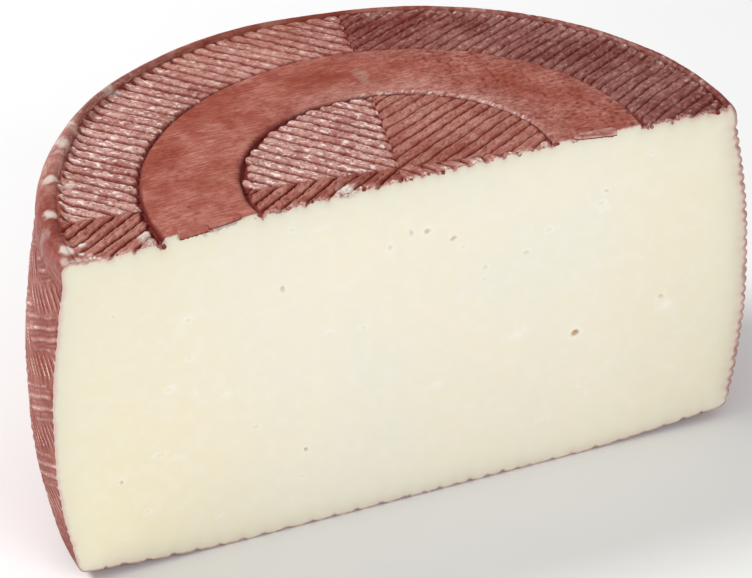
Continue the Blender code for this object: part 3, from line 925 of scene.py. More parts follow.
def make_side(sizes):
    """The rounded rim, the straw print below it and the foot, as one shell."""
    stations, outer_count = side_stations()
    parts = [np.linspace(first, last, count + 1) for first, last, count in SIDE_COLUMNS]
    angles = np.radians(np.concatenate([parts[0], parts[1][1:]]))
    piece, angle, row, radius, height = turned_sheet("crust_side", stations, angles)
    outer = row < outer_count
    relief = sizes.straw_relief / MM
    rise = straw_relief(angle, height, relief)[0]
    arc_length = angle * WIDEST_RADIUS
    uneven = layered(arc_length, height, (0.22, 19, 410), (0.10, 7, 411))
    by_cut = smooth(CUT + 5, CUT + 0.8, radius * np.sin(angle)) * smooth(84, 80, height)
    by_cut *= np.cos(angle) > 0
    bead = (height + 0.5 * noise(height, 0, 7, 414)) / BEAD
    bead = 0.62 * (1 - np.abs(2 * (bead - np.floor(bead)) - 1) ** 2.4) - 0.42
    rise = rise + (bead - rise) * by_cut
    rim_rough = 0.05 * noise(arc_length, height * 0.3, 2.2, 412)
    rim_rough += 0.10 * smooth(20, 60, radius * np.cos(angle)) * noise(arc_length, height, 1.1, 413)
    rim_rough *= smooth(WEAVE_TOP - 1, WEAVE_TOP + 1.5, height)
    moved = outer & (height > 3.2) & (row > 2)
    change = np.where(moved, rise + uneven + rim_rough, 0)
    on_top = np.where(outer, smooth(82.5, 86.8, height), 0)
    brow = RIM_CENTRE[0] + RIM_RADII[0]
    squeeze = (brow - rim_inner(angle)) / (brow - RIM_INNER)
    above_brow = (height > 82) & (radius < brow)
    radius = np.where(above_brow, brow - (brow - radius) * squeeze, radius)
    radius = radius + change * (1 - on_top)
    height = height + change * on_top * 0.8 + rim_lift(angle) * smooth(74, 86, height) * (outer & (row > 2))
    near_cut = smooth(CUT + 9, CUT + 2, radius * np.sin(angle)) * (np.cos(angle) < 0) * moved
    height = height - 0.14 * near_cut * np.clip(height - 82.5, 0, None)
    radius = radius + 0.6 * near_cut * smooth(83, 85.4, height) * smooth(81, 82.2, radius)
    lay(piece, radius * np.cos(angle), radius * np.sin(angle), height)
    east, north, up = close_turned(piece).T
    angle = np.arctan2(north, east)
    angle = np.where(angle < -1.6, angle + 2 * np.pi, angle)
    _, crest, beside, printed, along, across = straw_relief(angle, up, relief)
    # Crest mask of the side: darkened by the painted shadow lines and lightened on the crests
    shade = 0.76 - 0.66 * beside + 0.24 * smooth(0.2, 0.6, crest)
    by_left = smooth_turn(152, 166, angle) * smooth(58, 72, up)
    right_rim = smooth(20, 55, east) * smooth(80, 84, up)
    mottle = right_rim * smooth(-0.3, 0.4, noise(east, north, 1.5, 416))
    specks = right_rim * smooth(-0.1, 0.5, noise(east, north, 1.1, 415))
    pale_rim = smooth_turn(100, 125, angle) * (1 - by_left) * smooth(78, 82, up)
    on_right = smooth(10, 60, east) * smooth(70, 80, up)
    # Bloom and painted highlight along the straw crests; the specks on the right rim add painted glints
    bloom = smooth(0.40, 0.95, crest) * printed * (1 - 0.4 * by_left)
    set_masks(
        piece,
        crest=0.72 + 0.28 * pale_rim + (shade - 0.72) * printed - 0.25 * by_left - 0.4 * mottle,
        bloom=bloom + 0.01 + 0.24 * pale_rim + 0.30 * specks,
        whey=whey_at(east, north) * smooth(76, 82, up),
        mauve=0.30 * smooth(40, 0, up) + 0.9 * on_right,
        pebble=0.3 * (1 - printed) + 0.5 * on_right,
    )
    straw = printed > 0.5
    set_grain(piece, np.where(straw, along * 0.3, angle * WIDEST_RADIUS), np.where(straw, across, up))
    return stand(piece)


# The cut face


def cut_edges(pieces):
    """The lines where the crust pieces meet the knife, as (x, z) pairs of ends in millimetres."""
    plane = (CUT + BEHIND_FACE - MIDDLE[1]) * MM
    found = []
    for piece in pieces:
        points = points_of(piece)
        ends = np.empty(len(piece.data.edges) * 2, np.int32)
        piece.data.edges.foreach_get("vertices", ends)
        ends = ends.reshape(-1, 2)
        on_cut = np.abs(points[:, 1] - plane) < 0.002 * MM
        ends = ends[on_cut[ends].all(axis=1)]
        found.append(points[ends][:, :, (0, 2)] / MM)
    return np.concatenate(found)


def envelope(edges, places, axis, keep, within):
    """The furthest that the cut edges reach at each place along one axis, as np.fmax or np.fmin."""
    other = 1 - axis
    edges = edges[((edges[:, :, other] > within[0]) & (edges[:, :, other] < within[1])).all(axis=1)]
    reach = np.full(len(places), np.nan)
    step = places[1] - places[0]
    for start, end in edges:
        if start[axis] > end[axis]:
            start, end = end, start
        first = max(0, math.ceil((start[axis] - places[0]) / step - 1e-9))
        last = min(len(places) - 1, math.floor((end[axis] - places[0]) / step + 1e-9))
        if last < first:
            continue
        span = end[axis] - start[axis]
        share = (places[first : last + 1] - start[axis]) / span if span > 1e-9 else 0.5
        value = start[other] + (end[other] - start[other]) * share
        reach[first : last + 1] = keep(reach[first : last + 1], value)
    good = ~np.isnan(reach)
    return np.interp(places, places[good], reach[good])


class Outline:
    """The outline of the cut, read from the crust pieces that frame it."""

    def __init__(self, pieces):
        edges = cut_edges(pieces)
        self.high = RIM_CENTRE[1] + RIM_RADII[1] * math.sin(math.pi / 4)
        self.low = FOOT_CENTRE[1] - FOOT_RADIUS * math.sin(math.pi / 4)
        self.heights = np.arange(self.low - 1, self.high + 1, OUTLINE_STEP)
        self.left = envelope(edges, self.heights, 1, np.fmin, (-99, -70))
        self.right = envelope(edges, self.heights, 1, np.fmax, (70, 99))
        self.places = np.arange(-MIDDLE[0] - 90, -MIDDLE[0] + 95, OUTLINE_STEP)
        self.top = envelope(edges, self.places, 0, np.fmax, (60, 99))
        self.base = envelope(edges, self.places, 0, np.fmin, (-9, 20))

    def line(self, spacing=0.12):
        """Points all round the outline."""
        rises = np.arange(self.low, self.high, spacing)
        left, right = (np.interp(rises, self.heights, side) for side in (self.left, self.right))
        found = [(left, rises), (right, rises)]
        for end, values in ((-1, self.top), (0, self.base)):
            places = np.arange(left[end], right[end], spacing)
            found.append((places, np.interp(places, self.places, values)))
        return np.concatenate([np.stack(side, axis=1) for side in found])


def lay_face(outline, share_across, share_up):
    """Places of the cut face from shares across it and up it, just inside its outline."""
    inside = []
    for values, keep, gap in (
        (outline.top, np.minimum, -0.03), (outline.base, np.maximum, 0.03),
        (outline.left, np.maximum, 0.03), (outline.right, np.minimum, -0.03),
    ):
        drawn = values.copy()
        for step in (1, 2, 3):
            drawn[step:] = keep(drawn[step:], values[:-step])
            drawn[:-step] = keep(drawn[:-step], values[step:])
        inside.append(drawn + gap)
    top, base, left, right = inside

    def across(rise):
        """The places between the left and right ends of one height."""
        ends = np.interp(rise, outline.heights, left), np.interp(rise, outline.heights, right)
        return (1 - share_across) * ends[0] + share_across * ends[1]

    top_east, base_east = across(outline.high), across(outline.low)
    east = across(outline.low + (outline.high - outline.low) * share_up)
    top_now = np.interp(top_east, outline.places, top)
    base_now = np.interp(base_east, outline.places, base)
    return east, (1 - share_up) * base_now + share_up * top_now


def around(east, up, spot):
    """How far places lie from an eye or a smear, in its own half widths and half heights."""
    across, along = turned(east - (spot[0] - MIDDLE[0]), up - spot[1], math.radians(spot[4]))
    return np.hypot(across / spot[2], along / spot[3])


def press_eyes(east, up):
    """Depth, painted shade, amber and smear of the eyes and knife smears on the cut."""
    depth, hollow, amber, smear = np.zeros((4, len(east)))
    ragged = 0.28 * noise(east, up, 0.9, 501)
    for eye in EYES:
        away = around(east, up, eye) + ragged
        stain = eye[6] ** 2
        deep = eye[5] * (0.4 + 0.6 * eye[6])
        mask = smooth(1.25, 0.35, away)
        depth += deep * mask - 0.05 * smooth(0.9, 1.3, away) * smooth(2.2, 1.4, away)
        # Painted shade in the eye hollows, darker for deeper eyes
        hollow = np.maximum(hollow, mask * min(1, deep * 1.6))
        amber = np.maximum(amber, stain * smooth(1.7, 0.4, away))
        smear = np.maximum(smear, 0.5 * smooth(3.4, 1.4, away))
    for spot in SMEARS:
        away = around(east, up, spot) + 2 * ragged
        smear = np.maximum(smear, 0.6 * smooth(1.3, 0.3, away))
    return depth, hollow, amber, smear


def take_mask(piece, name):
    """Reads a mask back from a piece, and takes it off."""
    values = np.empty(len(piece.data.vertices), np.float32)
    layer = piece.data.attributes[name]
    layer.data.foreach_get("value", values)
    piece.data.attributes.remove(layer)
    return values.astype(np.float64)


def make_paste(crust, sizes):
    """The paste: the cut face with its eyes, and the body that tapers away behind it."""
    outline = Outline(crust)
    piece = add_sheet("paste", 230, 112)
    unit = points_of(piece)[:, :2]
    set_masks(piece, share_across=unit[:, 0], share_up=unit[:, 1])
    east, up = lay_face(outline, *unit.T)
    fine = (np.minimum(unit, 1 - unit) * FACE_SIZE).min(axis=1) < 1.6
    for eye in EYES:
        reach = 1.6 * max(eye[2], eye[3]) + 0.6
        fine |= np.hypot(east - (eye[0] - MIDDLE[0]), up - eye[1]) < reach
    choose(piece, fine)
    with edit(piece, mode="FACE", start=None):
        bpy.ops.mesh.subdivide(number_cuts=2)
    east, up = lay_face(outline, take_mask(piece, "share_across"), take_mask(piece, "share_up"))
    line_points = outline.line()
    tree = KDTree(len(line_points))
    for number, (x, z) in enumerate(line_points):
        tree.insert((x, z, 0), number)
    tree.balance()
    from_edge = np.array([tree.find((x, z, 0))[2] for x, z in zip(east, up)])
    depth, hollow, amber, smear = press_eyes(east, up)
    depth *= smooth(0.2, 1.5, from_edge)
    uneven = layered(east, up, (0.05, 24, 510), (0.02, 7, 511)) + 0.012 * noise(east * 0.25, up, 1.6, 512)
    face = CUT - MIDDLE[1] + depth + uneven * smooth(0.3, 3, from_edge)
    lay(piece, east * MM, np.maximum(face, CUT - MIDDLE[1] - 0.08) * MM, up * MM)
    top_side = smooth(80, 84, up) * smooth(83.5, 81, np.abs(east))
    on_left = smooth(-60, -70, east) * smooth(4, 9, up)
    on_right = smooth(60, 75, east) * smooth(4, 9, up)
    by_foot = smooth(8, 4, up)
    thick = sizes.rind_line / MM * (1 - 0.9 * top_side) * (1 + 0.2 * on_right) * (1 - 0.4 * by_foot)
    thick *= 1 + layered(east, up, (0.45, 5, 513), (0.3, 1.4, 514))
    rind = smooth(1.25, 0.55, from_edge / np.maximum(thick, 0.05)) * (1 - 0.92 * on_left)
    rind *= (0.8 + 0.5 * noise(east, up, 1.8, 522)) * (1 - 0.25 * by_foot) * (1 - 0.25 * on_right)
    blush = np.maximum(0.9 + layered(east, up, (0.5, 5, 519), (0.3, 1.3, 520)), 0.3)
    fringe = np.clip(0.30 + layered(east, 0, (0.34, 2.4, 516), (0.26, 0.9, 517)), 0.06, 0.9)
    fringe += 0.45 * smooth(-74, -78, east)
    stain_along = east - STAIN_AT[0]
    stain_across = up - STAIN_AT[1] - 0.16 * stain_along
    stain = np.hypot(stain_along / 4.8, stain_across / 0.9) + 0.5 * noise(east, up, 1.1, 518)
    bleed = (1 + 0.35 * top_side) * np.exp(-from_edge / (1.5 - 0.7 * top_side))
    bleed *= (1 - 0.6 * on_left) * (1 + 1.2 * on_right) * (1 + 0.4 * noise(east, up, 3, 515))
    ripe = smooth(-15, -80, east) * (0.6 + 0.4 * smooth(60, 10, up)) + 0.5 * smooth(40, 75, east)
    set_masks(
        piece,
        rind=np.clip(rind, 0, 1),
        blush=on_left * smooth(1.5, 0.3, from_edge / blush),
        fringe=top_side * smooth(1.2, 0.6, from_edge / fringe),
        stain=smooth(1.2, 0.5, stain),
        bleed=bleed,
        cool=(1 + on_right) * np.exp(-from_edge / 4.5),
        ripe=np.clip(ripe, 0, 1),
        hollow=hollow,
        amber=amber,
        smear=smear,
    )
    with edit(piece, mode="EDGE"):
        select_rim()
        for back, narrower, lower in PASTE_STEPS:
            pull_out(0, back * MM, 0)
            bpy.ops.transform.resize(value=(narrower, 1, lower), center_override=(0, 0, PASTE_MIDDLE * MM))
        bpy.ops.mesh.edge_face_add()
        turn_outwards()
    return piece


# Scraps at the edge of the cut


def make_flap(name, first, last, drop_first, drop_last, lift, raggedness, highlight_strength):
    """A flap of crust that the knife bent over the cut."""
    piece = add_sheet(name, 64, 26)
    run, out, _ = points_of(piece).T
    length = last - first

    def drop(share):
        return drop_first + (drop_last - drop_first) * share

    level = np.clip(out / 0.45, 0, 1)
    bent = np.clip((out - 0.45) / 0.55, 0, 1)
    ragged = 1 + raggedness * layered(run * length, 0, (0.28, 1.9, 601), (0.22, 0.7, 602))
    ends = smooth(0, 0.05, run) * smooth(1, 0.86, run)
    east = first + run * length
    north = CUT + 1.5 - 1.72 * level - 0.38 * np.sin(bent * math.pi / 2) * (0.4 + 0.6 * ends)
    height = band_height(np.hypot(east, north)) + 0.04 + lift * np.sin(level * math.pi / 2) ** 2 * ends
    height -= (drop(run) * ragged + lift * ends) * bent**1.4 + 0.35 * smooth(0.35, 0, out)
    height -= 0.3 * (1 - smooth(0, 0.06, run) * smooth(1, 0.9, run)) * (1 - bent)
    lay(piece, east, north, height + 0.06 * noise(east, out * 3, 0.9, 603))
    activate(piece)
    solid = piece.modifiers.new("Thickness", "SOLIDIFY")
    solid.thickness = FLAP_THICKNESS
    solid.offset = -1
    bpy.ops.object.modifier_apply(modifier=solid.name)
    with edit(piece):
        turn_outwards()
    east, north, up = points_of(piece).T
    edge_rise = up - band_height(np.hypot(east, north)) + drop(np.clip((east - first) / length, 0, 1))
    # Darker along the flap's lower edge: the rind's brown line, deepened as painted shadow
    low_edge = smooth(0.50, 0.20, edge_rise)
    # Painted highlight: a pale line along the flap's bent lip, laid on through the whey mask, and a paler
    # top through the bloom
    painted_highlight_line = smooth(0.30, 0.45, edge_rise) * smooth(0.80, 0.55, edge_rise) * smooth(CUT, CUT - 0.3, north)
    painted_highlight_line *= highlight_strength * (0.75 + 0.5 * noise(east, up, 1.0, 604))
    bloom = 0.25 * highlight_strength * (1 - low_edge) + 0.04
    set_masks(piece, crest=0.9 - 0.85 * low_edge, bloom=bloom, whey=0.5 * painted_highlight_line, mauve=0.0, pebble=0.2)
    set_grain(piece, east, north)
    return stand(piece)


def make_crumbs(outline):
    """Crumbs along the top edge of the cut, copied from one lump."""
    bpy.ops.object.select_all(action="DESELECT")
    bpy.ops.mesh.primitive_ico_sphere_add(subdivisions=2, radius=1)
    model = bpy.context.object
    shape = points_of(model)
    east, north, up = shape.T
    shape *= (1 + 0.45 * noise(east + 3.1 * up, north + 5.2 * up, 1.1, 801))[:, None]
    random = np.random.default_rng(802)
    wanted = list(EDGE_CRUMBS)
    for _ in range(LOOSE_CRUMBS):
        place_east = random.uniform(-78, 81)
        if BAND_INNER < abs(place_east) < BAND_OUTER and random.uniform() < 0.85:
            continue
        tone = ("plain", "plain", "pale", "plain", "white")[random.integers(5)]
        wanted.append((place_east, random.uniform(-0.45, 0.25), random.uniform(0.10, 0.27), tone))
    made = []
    for place_east, rise, radius, tone in wanted:
        crumb = model.copy()
        crumb.data = model.data.copy()
        bpy.context.scene.collection.objects.link(crumb)
        lump = shape @ np.array(Matrix.Rotation(random.uniform(0, 6.28), 3, random.normal(size=3)))
        across = place_east + LEAN - MIDDLE[0]
        edge = np.interp(across, outline.places, outline.top)
        centre = (across, CUT - MIDDLE[1] - 0.5 * radius + max(rise, 0), edge + rise)
        squash = random.uniform(0.6, 1.45, 3)
        move_points(crumb, (lump * squash * radius + centre) * MM)
        crest, bloom, whey = CRUMB_TONES[tone]
        set_masks(crumb, crest=crest, bloom=bloom, whey=whey, mauve=0.0, pebble=0.2)
        set_grain(crumb, shape[:, 0], shape[:, 1])
        made.append(crumb)
    bpy.data.objects.remove(model)
    return join(made, "edge_crumbs")


# Materials


class Nodes:
    """Short words for the nodes of one tree."""

    def __init__(self, tree):
        self.tree = tree

    def feed(self, made, inputs):
        """Links each input to another node, or sets its value."""
        for name, value in inputs.items():
            if isinstance(value, bpy.types.NodeSocket):
                self.tree.links.new(value, made.inputs[name])
            else:
                made.inputs[name].default_value = value

    def add(self, kind, inputs, output=0, **settings):
        made = self.tree.nodes.new("ShaderNode" + kind)
        for name, value in settings.items():
            setattr(made, name, value)
        self.feed(made, inputs)
        return made.outputs if output is None else made.outputs[output]

    def sum(self, *values):
        total = values[0]
        for value in values[1:]:
            total = self.add("Math", {0: total, 1: value}, operation="ADD")
        return total

    def times(self, first, second):
        return self.add("Math", {0: first, 1: second}, operation="MULTIPLY")

    def mix(self, factor, first, second, blend="MIX"):
        inputs = {0: factor, 6: first, 7: second}
        return self.add("Mix", inputs, 2, data_type="RGBA", blend_type=blend)

    def ramp(self, value, low, high):
        inputs = {"Value": value, "From Min": low, "From Max": high}
        return self.add("MapRange", inputs, interpolation_type="SMOOTHSTEP")

    def noise(self, place_here, scale, detail=3.0, rough=0.55):
        inputs = {"Vector": place_here, "Scale": scale, "Detail": detail, "Roughness": rough}
        return self.add("TexNoise", inputs)

    def fibres(self, grain, stretch, scale, detail, rough):
        """A noise drawn out along the straw."""
        drawn = self.add("Mapping", {"Vector": grain, "Scale": (stretch, 1, 1)})
        return self.noise(drawn, scale, detail, rough)

    def place_here(self):
        return self.add("TexCoord", {}, "Object")

    def mask(self, name, output="Fac"):
        return self.add("Attribute", {}, output, attribute_name=name)


def shared_group(name, inputs, outputs, build):
    """A node group that the crust materials share, built once."""
    if name in bpy.data.node_groups:
        return bpy.data.node_groups[name]
    group = bpy.data.node_groups.new(name, "ShaderNodeTree")
    for in_out, sockets in (("INPUT", inputs), ("OUTPUT", outputs)):
        for label, kind in sockets.items():
            group.interface.new_socket(label, in_out=in_out, socket_type="NodeSocket" + kind)
    nodes = Nodes(group)
    given = group.nodes.new("NodeGroupInput").outputs
    nodes.feed(group.nodes.new("NodeGroupOutput"), build(nodes, given))
    return group


STAIN_INPUTS = {
    "Vector": "Vector", "Grain": "Vector", "Crest": "Float", "Bloom amount": "Float", "Whey amount": "Float",
    "Mauve amount": "Float", "Streaks": "Float", "Wine": "Color", "Lees_and_shade": "Color", "Mauve": "Color",
    "Bloom": "Color", "Whey": "Color",
}
STAIN_OUTPUTS = {"Color": "Color", "Roughness": "Float"}
GRAIN_INPUTS = {"Vector": "Vector", "Grain": "Vector", "Pebbles": "Float", "Fibres": "Float"}
GRAIN_OUTPUTS = {"Height": "Float"}


def stained_crust(nodes, given):
    """Crust colour from its masks: lees deepened by painted shade in the grooves, bloom with painted sheen
    and painted glints on the crests, whey on top.
    """
    vector, grain = given["Vector"], given["Grain"]
    lees_and_shade, bloom, amount = given["Lees_and_shade"], given["Bloom"], given["Bloom amount"]
    cloud = nodes.noise(vector, 60, 5, 0.6)
    patch = nodes.noise(vector, 190, 3, 0.5)
    fine = nodes.noise(vector, 700, 3, 0.6)
    speck = nodes.noise(vector, 1500, 2, 0.5)
    fibre = nodes.fibres(grain, 0.2, 950, 3, 0.6)
    tone = nodes.mix(given["Mauve amount"], given["Wine"], given["Mauve"])
    deeper = nodes.mix(1, tone, (0.64, 0.50, 0.46, 1), "MULTIPLY")
    lighter = nodes.mix(0.20, tone, bloom)
    tone = nodes.mix(nodes.ramp(cloud, 0.36, 0.64), nodes.mix(0.6, tone, deeper), lighter)
    redder = nodes.mix(0.75, tone, (0.80, 0.52, 0.48, 1), "MULTIPLY")
    tone = nodes.mix(nodes.ramp(patch, 0.38, 0.56), redder, tone)
    tone = nodes.mix(nodes.ramp(fibre, 0.38, 0.56), nodes.mix(0.50, tone, deeper), tone)
    light_fibre = nodes.times(nodes.ramp(fibre, 0.53, 0.68), given["Streaks"])
    tone = nodes.mix(light_fibre, tone, nodes.mix(0.30, tone, bloom))
    tone = nodes.mix(nodes.ramp(fine, 0.28, 0.50), nodes.mix(0.34, tone, lees_and_shade), tone)
    # Grooves turn to the lees colour: dried wine, deepened as painted shade
    crest = nodes.sum(given["Crest"], nodes.times(fine, 0.36), -0.18)
    tone = nodes.mix(nodes.ramp(crest, 0.08, 0.80), lees_and_shade, tone)
    spots = nodes.times(nodes.ramp(fine, 0.38, 0.54), nodes.ramp(fibre, 0.34, 0.56))
    even = nodes.times(nodes.ramp(patch, 0.25, 0.60), 0.22)
    # Patchy spread of the bloom and its painted sheen
    bloom_and_sheen_spread = nodes.sum(nodes.times(spots, 0.5), even, 0.30)
    pale = nodes.mix(nodes.times(amount, bloom_and_sheen_spread), tone, bloom)
    often = nodes.ramp(amount, 0.05, 0.65)
    pit = nodes.times(nodes.ramp(speck, 0.42, 0.36), often)
    pale = nodes.mix(nodes.times(pit, 0.55), pale, lees_and_shade)
    # Painted glints: pale specks drawn along the grain, standing in for the lamp's highlights
    glint = nodes.times(nodes.ramp(nodes.fibres(grain, 0.42, 1150, 2, 0.5), 0.545, 0.635), often)
    pale = nodes.mix(nodes.times(glint, 0.8), pale, (0.92, 0.79, 0.73, 1))
    wheyed = nodes.times(given["Whey amount"], nodes.ramp(fine, 0.20, 0.5))
    rough = nodes.sum(nodes.times(speck, 0.5), 0.24, nodes.times(amount, -0.08))
    return {"Color": nodes.mix(wheyed, pale, given["Whey"]), "Roughness": rough}


def crust_grain(nodes, given):
    """Height of the crust's fine grain: leathery pebbles, straw fibres and pits."""
    pebbles = nodes.add("TexVoronoi", {"Vector": given["Vector"], "Scale": 950}, feature="SMOOTH_F1")
    fibres = nodes.fibres(given["Grain"], 0.16, 1300, 2, 0.5)
    pits = nodes.noise(given["Vector"], 1500, 3, 0.6)
    pebbled = nodes.times(pebbles, given["Pebbles"])
    return {"Height": nodes.sum(pebbled, nodes.times(fibres, given["Fibres"]), nodes.times(pits, 0.45))}


def new_material(name):
    """A material with its nodes and its shader."""
    material = bpy.data.materials.new(name)
    material.use_nodes = True
    return material, Nodes(material.node_tree), material.node_tree.nodes["Principled BSDF"]


def crust_material(name, colours):
    """The stained crust, with the finish that its name has in the table."""
    material, nodes, shader = new_material(name)
    pebbles, fibres, bump, light, streaks = CRUST_FINISHES[name]
    both = {"Vector": nodes.place_here(), "Grain": nodes.mask("grain", "Vector")}
    wine = [light * share for share in colours.wine[:3]] + [1]
    look = {"Crest": nodes.mask("crest"), "Streaks": streaks, "Wine": wine}
    for label in ("Lees_and_shade", "Mauve", "Bloom", "Whey"):
        look[label] = getattr(colours, label.lower())
    for label in ("Mauve", "Bloom", "Whey"):
        look[label + " amount"] = nodes.mask(label.lower())
    stain = shared_group("Stained crust", STAIN_INPUTS, STAIN_OUTPUTS, stained_crust)
    stained = nodes.add("Group", both | look, None, node_tree=stain)
    skin = {"Pebbles": nodes.times(nodes.mask("pebble"), pebbles), "Fibres": fibres}
    grain = shared_group("Crust grain", GRAIN_INPUTS, GRAIN_OUTPUTS, crust_grain)
    height = nodes.add("Group", both | skin, node_tree=grain)
    relief = nodes.add("Bump", {"Strength": 1, "Distance": bump * MM, "Height": height})
    nodes.feed(shader, {"Base Color": stained["Color"], "Roughness": stained["Roughness"], "Normal": relief})
    shader.inputs["Specular IOR Level"].default_value = 0.17
    return material


def paste_material(colours):
    """The paste: layers of tint from its masks, each over the last."""
    material, nodes, shader = new_material("paste")
    place_here = nodes.place_here()
    cloud = nodes.noise(place_here, 28)
    fine = nodes.noise(place_here, 240, 4, 0.6)

    def shade(*shares):
        """The paste's own colour with its red, green and blue changed."""
        return [min(1, whole * share) for whole, share in zip(colours.paste, shares)] + [1]

    pale = shade(1.06, 1.08, 1.16)
    amber = nodes.mask("amber")
    brown = nodes.mix(amber, (0.66, 0.52, 0.22, 1), (0.58, 0.31, 0.11, 1))
    fringe = nodes.mix(nodes.ramp(fine, 0.35, 0.65), (0.52, 0.24, 0.17, 1), (0.74, 0.50, 0.42, 1))
    line = nodes.mix(nodes.ramp(fine, 0.3, 0.7), (0.25, 0.10, 0.085, 1), colours.rind_line)
    tone = nodes.mix(nodes.ramp(cloud, 0.35, 0.65), shade(0.975, 0.985, 0.97), shade(1, 0.985, 0.93))
    for mask, strength, colour in (
        (nodes.mask("ripe"), 1, shade(0.955, 0.915, 0.77)),
        (nodes.ramp(fine, 0.42, 0.7), 0.2, pale),
        (nodes.mask("smear"), nodes.ramp(fine, 0.3, 0.6), pale),
        (nodes.mask("cool"), 0.75, shade(0.86, 0.885, 0.80)),
        (nodes.mask("blush"), 0.8, (0.78, 0.56, 0.49, 1)),
        (nodes.mask("bleed"), 0.62, (0.66, 0.47, 0.40, 1)),
        # Painted shade in the eye hollows
        (nodes.mask("hollow"), 0.4, (0.62, 0.55, 0.39, 1)),
        (amber, 0.75, brown),
        (nodes.mask("stain"), 0.85, (0.38, 0.26, 0.29, 1)),
        (nodes.mask("fringe"), 1, fringe),
        (nodes.mask("rind"), 1, line),
    ):
        tone = nodes.mix(nodes.times(mask, strength), tone, colour)
    relief = nodes.add("Bump", {"Strength": 0.5, "Distance": 0.1 * MM, "Height": fine})
    nodes.feed(shader, {
        "Base Color": tone, "Normal": relief, "Roughness": 0.46, "Subsurface Weight": 0.25,
        "Subsurface Radius": (1.0, 0.8, 0.5), "Subsurface Scale": 2.0 * MM,
    })
    return material


def floor_material():
    material, nodes, shader = new_material("floor")
    grain = nodes.noise(nodes.place_here(), 40)
    tone = nodes.mix(grain, (0.93, 0.93, 0.93, 1), (0.95, 0.95, 0.95, 1))
    nodes.feed(shader, {"Base Color": tone, "Roughness": 0.9, "Specular IOR Level": 0})
    return material


# The stage


def set_world(scene, strength):
    world = bpy.data.worlds.new("white_room")
    world.use_nodes = True
    background = world.node_tree.nodes["Background"]
    background.inputs["Color"].default_value = (1, 1, 1, 1)
    background.inputs["Strength"].default_value = strength
    scene.world = world


def add_lamp(name, spot, target, size, power):
    lamp_data = bpy.data.lights.new(name, "AREA")
    lamp_data.shape = "DISK"
    lamp_data.size = size
    lamp_data.energy = power
    lamp = bpy.data.objects.new(name, lamp_data)
    bpy.context.scene.collection.objects.link(lamp)
    lamp.location = spot
    lamp.rotation_euler = (Vector(target) - Vector(spot)).to_track_quat("-Z", "Y").to_euler()


def add_camera(scene):
    """The camera at the photograph's viewing angle, with its slight roll."""
    turn, rise, roll = (math.radians(angle) for angle in (CAMERA_TURN, CAMERA_RISE, CAMERA_ROLL))
    back = Vector((math.sin(turn) * math.cos(rise), -math.cos(turn) * math.cos(rise), math.sin(rise)))
    right = (-back).cross(Vector((0, 0, 1))).normalized()
    over = right.cross(-back)
    rolled_right = right * math.cos(roll) + over * math.sin(roll)
    rolled_over = over * math.cos(roll) - right * math.sin(roll)
    target = Vector((CAMERA_TARGET[0] - MIDDLE[0], CUT - MIDDLE[1], CAMERA_TARGET[2]))
    spot = (target + back * CAMERA_AWAY) * MM
    camera_data = bpy.data.cameras.new("camera")
    camera_data.sensor_width = SENSOR
    camera_data.lens = CAMERA_FOCAL * SENSOR / PHOTO_WIDTH
    camera_data.clip_start, camera_data.clip_end = CAMERA_CLIP
    camera = bpy.data.objects.new("camera", camera_data)
    scene.collection.objects.link(camera)
    rows = [(rolled_right[i], rolled_over[i], back[i], spot[i]) for i in range(3)] + [(0, 0, 0, 1)]
    camera.matrix_world = Matrix(rows)
    scene.camera = camera


# Operators


def crust_pieces():
    names = ("crust_disc", "crust_ring", "crust_band", "crust_side", "crust_base")
    return [bpy.data.objects[name] for name in names]


class CheeseOperator:
    bl_options = {"REGISTER", "UNDO"}


class CHEESE_OT_ridges(CheeseOperator, bpy.types.Operator):
    """Model the ridged zones of the top, inside and outside the band"""

    bl_idname = "cheese.ridges"
    bl_label = "Ridged zones"

    def execute(self, context):
        sizes = context.scene.cheese_sizes
        material = crust_material("ridged_crust", context.scene.cheese_colours)
        for zone in RIDGED_ZONES:
            finish_piece(make_ridged_piece(*zone, print_ridges, sizes), material)
        return {"FINISHED"}


class CHEESE_OT_band(CheeseOperator, bpy.types.Operator):
    """Model the bare raised band between the ridged zones"""

    bl_idname = "cheese.band"
    bl_label = "Bare band"

    def execute(self, context):
        material = crust_material("bare_crust", context.scene.cheese_colours)
        finish_piece(make_band(context.scene.cheese_sizes), material)
        return {"FINISHED"}


class CHEESE_OT_side(CheeseOperator, bpy.types.Operator):
    """Model the rounded rim and the straw print of the side"""

    bl_idname = "cheese.side"
    bl_label = "Rim and side"

    def execute(self, context):
        material = crust_material("straw_crust", context.scene.cheese_colours)
        finish_piece(make_side(context.scene.cheese_sizes), material)
        return {"FINISHED"}


class CHEESE_OT_base(CheeseOperator, bpy.types.Operator):
    """Model the underside, with the same ridges pressed faintly upward"""

    bl_idname = "cheese.base"
    bl_label = "Base"

    def execute(self, context):
        material = crust_material("base_crust", context.scene.cheese_colours)
        finish_piece(make_ridged_piece(*BASE_ZONE, press_base, context.scene.cheese_sizes), material)
        return {"FINISHED"}


class CHEESE_OT_paste(CheeseOperator, bpy.types.Operator):
    """Model the paste and the flat cut, fitted to the crust that is already there"""

    bl_idname = "cheese.paste"
    bl_label = "Paste and cut"

    def execute(self, context):
        paste = make_paste(crust_pieces(), context.scene.cheese_sizes)
        finish_piece(paste, paste_material(context.scene.cheese_colours))
        return {"FINISHED"}


class CHEESE_OT_scraps(CheeseOperator, bpy.types.Operator):
    """Model the flaps of crust and the crumbs that the knife left at the edge of the cut"""

    bl_idname = "cheese.scraps"
    bl_label = "Edge of the cut"

    def execute(self, context):
        material = bpy.data.materials["bare_crust"]
        outline = Outline(crust_pieces())
        for flap in FLAPS:
            finish_piece(make_flap(*flap), material)
        finish_piece(make_crumbs(outline), material)
        return {"FINISHED"}


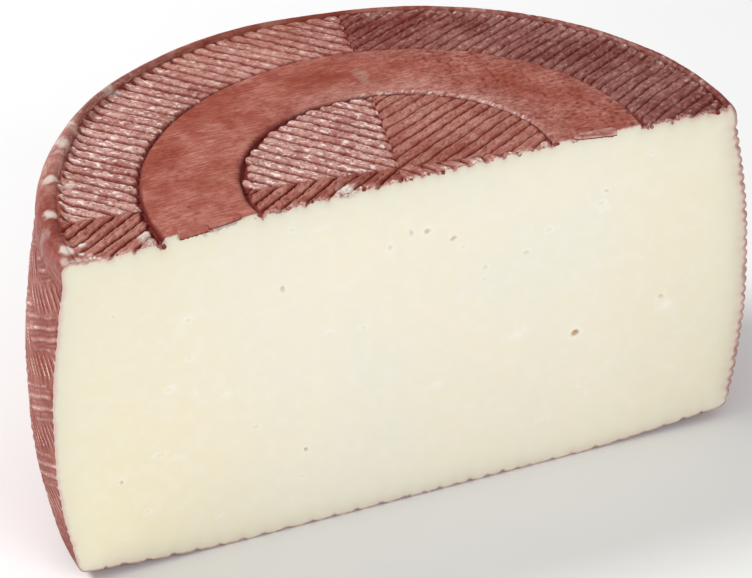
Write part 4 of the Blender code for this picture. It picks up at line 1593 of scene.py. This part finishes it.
class CHEESE_OT_stage(CheeseOperator, bpy.types.Operator):
    """Set the pale floor, the soft lamps and the camera"""

    bl_idname = "cheese.stage"
    bl_label = "Stage"

    def execute(self, context):
        light = context.scene.cheese_light
        bpy.ops.object.select_all(action="DESELECT")
        bpy.ops.mesh.primitive_plane_add(size=FLOOR_WIDTH)
        floor = context.object
        floor.name = "floor"
        floor.data.materials.append(floor_material())
        set_world(context.scene, light.sky)
        add_lamp("lamp_key", *KEY_LAMP, light.key)
        add_lamp("lamp_fill", *FILL_LAMP, light.fill)
        add_camera(context.scene)
        context.scene.view_settings.view_transform = "Standard"
        return {"FINISHED"}


class CHEESE_PT_panel(bpy.types.Panel):
    bl_label = "Goat cheese"
    bl_idname = "CHEESE_PT_panel"
    bl_space_type = "VIEW_3D"
    bl_region_type = "UI"
    bl_category = "Cheese"

    def draw(self, context):
        for name, group in GROUPS:
            box = self.layout.box()
            for field in group.__annotations__:
                box.prop(getattr(context.scene, name), field)
        for operator in OPERATORS:
            self.layout.operator(operator.bl_idname)


OPERATORS = (
    CHEESE_OT_ridges, CHEESE_OT_band, CHEESE_OT_side, CHEESE_OT_base,
    CHEESE_OT_paste, CHEESE_OT_scraps, CHEESE_OT_stage,
)
GROUPS = (("cheese_sizes", WheelSizes), ("cheese_colours", CheeseColours), ("cheese_light", StageLight))


def register():
    for name, group in GROUPS:
        bpy.utils.register_class(group)
        setattr(bpy.types.Scene, name, PointerProperty(type=group))
    for operator in OPERATORS:
        bpy.utils.register_class(operator)
    bpy.utils.register_class(CHEESE_PT_panel)


def unregister():
    bpy.utils.unregister_class(CHEESE_PT_panel)
    for operator in reversed(OPERATORS):
        bpy.utils.unregister_class(operator)
    for name, group in reversed(GROUPS):
        delattr(bpy.types.Scene, name)
        bpy.utils.unregister_class(group)


def main():
    register()
    bpy.ops.cheese.ridges()
    bpy.ops.cheese.band()
    bpy.ops.cheese.side()
    bpy.ops.cheese.base()
    bpy.ops.cheese.paste()
    bpy.ops.cheese.scraps()
    bpy.ops.cheese.stage()


if __name__ == "__main__":
    main()
